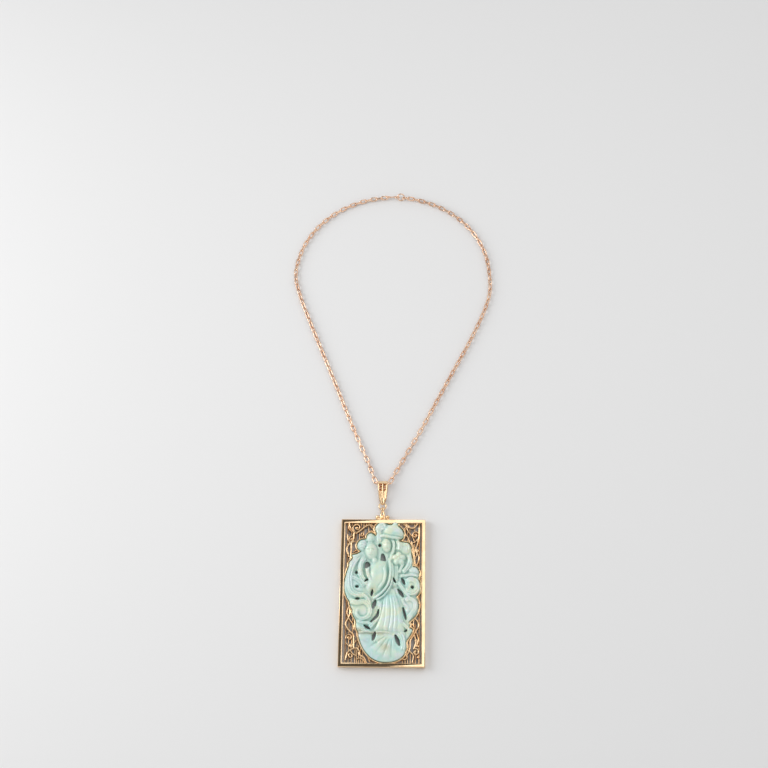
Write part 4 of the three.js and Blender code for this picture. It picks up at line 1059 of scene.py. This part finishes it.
def chainTree():
    tree = bpy.data.node_groups.new("linksAlongChain", "GeometryNodeTree")
    inputs = {"Places": "Geometry", "Link": "Object", "Link Scale": "Float", "Metal": "Material"}
    for name, kind in inputs.items():
        tree.interface.new_socket(name, in_out="INPUT", socket_type="NodeSocket" + kind)
    tree.interface.items_tree["Link Scale"].default_value = 1
    tree.interface.new_socket("Chain", in_out="OUTPUT", socket_type="NodeSocketGeometry")
    entry = addNode(tree, "NodeGroupInput").outputs
    points = addNode(tree, "GeometryNodeMeshToPoints", {"Mesh": entry["Places"]})
    link = addNode(tree, "GeometryNodeObjectInfo", {"Object": entry["Link"]})
    turn = addNode(tree, "GeometryNodeInputNamedAttribute", {"Name": "linkTurn"}, data_type="FLOAT_VECTOR")
    instances = addNode(tree, "GeometryNodeInstanceOnPoints", {
        "Points": points.outputs["Points"], "Instance": link.outputs["Geometry"],
        "Rotation": turn.outputs["Attribute"], "Scale": entry["Link Scale"],
    })
    realized = addNode(tree, "GeometryNodeRealizeInstances", {"Geometry": instances.outputs["Instances"]})
    metal = {"Geometry": realized.outputs["Geometry"], "Material": entry["Metal"]}
    metal = addNode(tree, "GeometryNodeSetMaterial", metal)
    addNode(tree, "NodeGroupOutput", {"Chain": metal.outputs["Geometry"]})
    return tree


def addChain():
    places, turns = linkPlaces()
    mesh = newMesh("linkPlaces", placed(places), [])
    attribute = mesh.attributes.new("linkTurn", "FLOAT_VECTOR", "POINT")
    attribute.data.foreach_set("vector", np.array(turns).ravel())
    carrier = newObject("linkPlaces", mesh)
    link = linkMesh()
    modifier = carrier.modifiers.new("linksAlongChain", "NODES")
    modifier.node_group = chainTree()
    values = {"Link": link, "Link Scale": 1.0, "Metal": chainGold}
    for socket in modifier.node_group.interface.items_tree:
        if socket.name in values:
            modifier[socket.identifier] = values[socket.name]
    view = bpy.context.evaluated_depsgraph_get()
    whole = bpy.data.meshes.new_from_object(carrier.evaluated_get(view), depsgraph=view)
    bpy.data.objects.remove(carrier)
    bpy.data.objects.remove(link)
    piece = newObject("cableChain", whole)
    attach(piece, "root")
    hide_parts(*[f"chain_{side}_{run}" for side in ("left", "right") for run in (1, 2, 3, 4)])


addChain()
print("cable chain ready")


# Clasp: a flat hook with an eye at one end of the chain, and a ring at the other

clasp = {"wire": 0.35, "ringRadius": 2.0, "bow": 1.5, "eyeRadius": 1.35, "eyeX": -3.2, "ringX": 4.5}


def addClasp():
    (x, y), up = chain["backCentre"], chain["backHalf"][1]
    centre = Vector((x, y + up, chain["claspHeight"]))
    circle = unitCircle(40)
    bend = np.radians(np.arange(150, -136, -12))
    bow = np.stack([2 + clasp["bow"] * np.cos(bend), clasp["bow"] * np.sin(bend)], axis=1)
    shank = smoothLine([[-2.1, 0], [-0.6, 0.3], *bow], 0.25)
    last = len(shank) - 1
    thick = clasp["wire"] * np.interp(np.arange(last + 1), [0, (last + 1) * 0.9, last], [1, 1, 0.7])
    hook = joinedParts([
        tube(circle * clasp["eyeRadius"] + [clasp["eyeX"], 0, 0], clasp["wire"], 12, True),
        tube(np.c_[shank, np.zeros(len(shank))], thick, 12),
        ball((*shank[-1], 0), (0.36, 0.36, 0.34)),
    ])
    ring = tube(circle * clasp["ringRadius"] + [clasp["ringX"], 0, 0], clasp["wire"], 14, True)
    for name, (points, faces), angle, node in (
        ("claspHook", hook, -45, "clasp_hook"), ("claspRing", ring, 45, "clasp_ring"),
    ):
        turned = np.array(points) @ np.array(Matrix.Rotation(math.radians(angle), 3, "X")).T + centre
        piece = makePiece(name, turned, faces, chainGold, "chain_gold")
        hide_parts(node)


addClasp()
print("clasp ready")


# Camera at the photograph's angle

cameraFit = {"tilt": 20.928, "yaw": 1.778, "roll": 0.917, "place": (19.04, -111.66, 604.33), "lens": 53.06}


def addCamera():
    tilt, yaw, roll = (math.radians(cameraFit[k]) for k in ("tilt", "yaw", "roll"))
    back = Vector((math.sin(yaw), -math.sin(tilt) * math.cos(yaw), math.cos(tilt) * math.cos(yaw)))
    right = Vector((0, 1, 0)).cross(back).normalized()
    up = back.cross(right)
    turnedRight = math.cos(roll) * right + math.sin(roll) * up
    turnedUp = -math.sin(roll) * right + math.cos(roll) * up
    matrix = Matrix((turnedRight, turnedUp, back)).transposed().to_4x4()
    matrix.translation = placed([cameraFit["place"]])[0]
    data = bpy.data.cameras.new("photoCamera")
    data.lens = cameraFit["lens"]
    data.sensor_width = 36
    data.clip_start = 0.01
    camera = newObject("photoCamera", data)
    camera.matrix_world = matrix
    bpy.context.scene.camera = camera


# Floor and soft studio light

studio = {
    "floorHalf": 1.6, "floorZ": -0.00002, "floorColor": (0.82, 0.82, 0.82), "floorRoughness": 0.8,
    "horizon": 0.79, "overhead": 0.11, "fadeFrom": 0.68, "fadeTo": 0.88,
    "boxes": {
        "overheadBox": {"place": (224, 200, 700), "aim": (224, 200, 0), "size": (0.5, 0.7), "power": 1.55},
        "leftBox": {"place": (-650, 160, 420), "aim": (0, 0, 0), "size": (0.4, 0.6), "power": 2.8},
    },
}


def addFloor():
    half, z = studio["floorHalf"], studio["floorZ"]
    corners = [(x * half, y * half, z) for x, y in ((-1, -1), (1, -1), (1, 1), (-1, 1))]
    floor = newObject("paleFloor", newMesh("paleFloor", corners, [(0, 1, 2, 3)]))
    material, tree, shader = newMaterial("mattePaleFloor")
    setInputs(shader, {"Base Color": (*studio["floorColor"], 1), "Roughness": studio["floorRoughness"]})
    floor.data.materials.append(material)


def addSoftBox(name, place, aim, size, power):
    data = bpy.data.lights.new(name, "AREA")
    data.shape = "RECTANGLE"
    data.size, data.size_y = size
    data.energy = power
    light = newObject(name, data)
    light.location = placed([place])[0]
    light.rotation_mode = "QUATERNION"
    light.rotation_quaternion = (Vector(placed([aim])[0]) - light.location).to_track_quat("-Z", "Y")


def addLights():
    world = bpy.data.worlds.new("studioWorld")
    world.use_nodes = True
    tree = world.node_tree
    direction = addNode(tree, "ShaderNodeTexCoord").outputs["Generated"]
    parts = addNode(tree, "ShaderNodeSeparateXYZ", {"Vector": direction})
    glow = addNode(tree, "ShaderNodeMapRange", {
        "Value": parts.outputs["Z"], "From Min": studio["fadeFrom"], "From Max": studio["fadeTo"],
        "To Min": studio["horizon"], "To Max": studio["overhead"],
    }, interpolation_type="SMOOTHSTEP")
    setInputs(tree.nodes["Background"], {"Color": (1, 1, 1, 1), "Strength": glow.outputs["Result"]})
    bpy.context.scene.world = world
    for name, box in studio["boxes"].items():
        addSoftBox(name, **box)


addCamera()
addFloor()
addLights()
bpy.context.scene.view_settings.view_transform = "Standard"
print("camera, floor and lights ready")
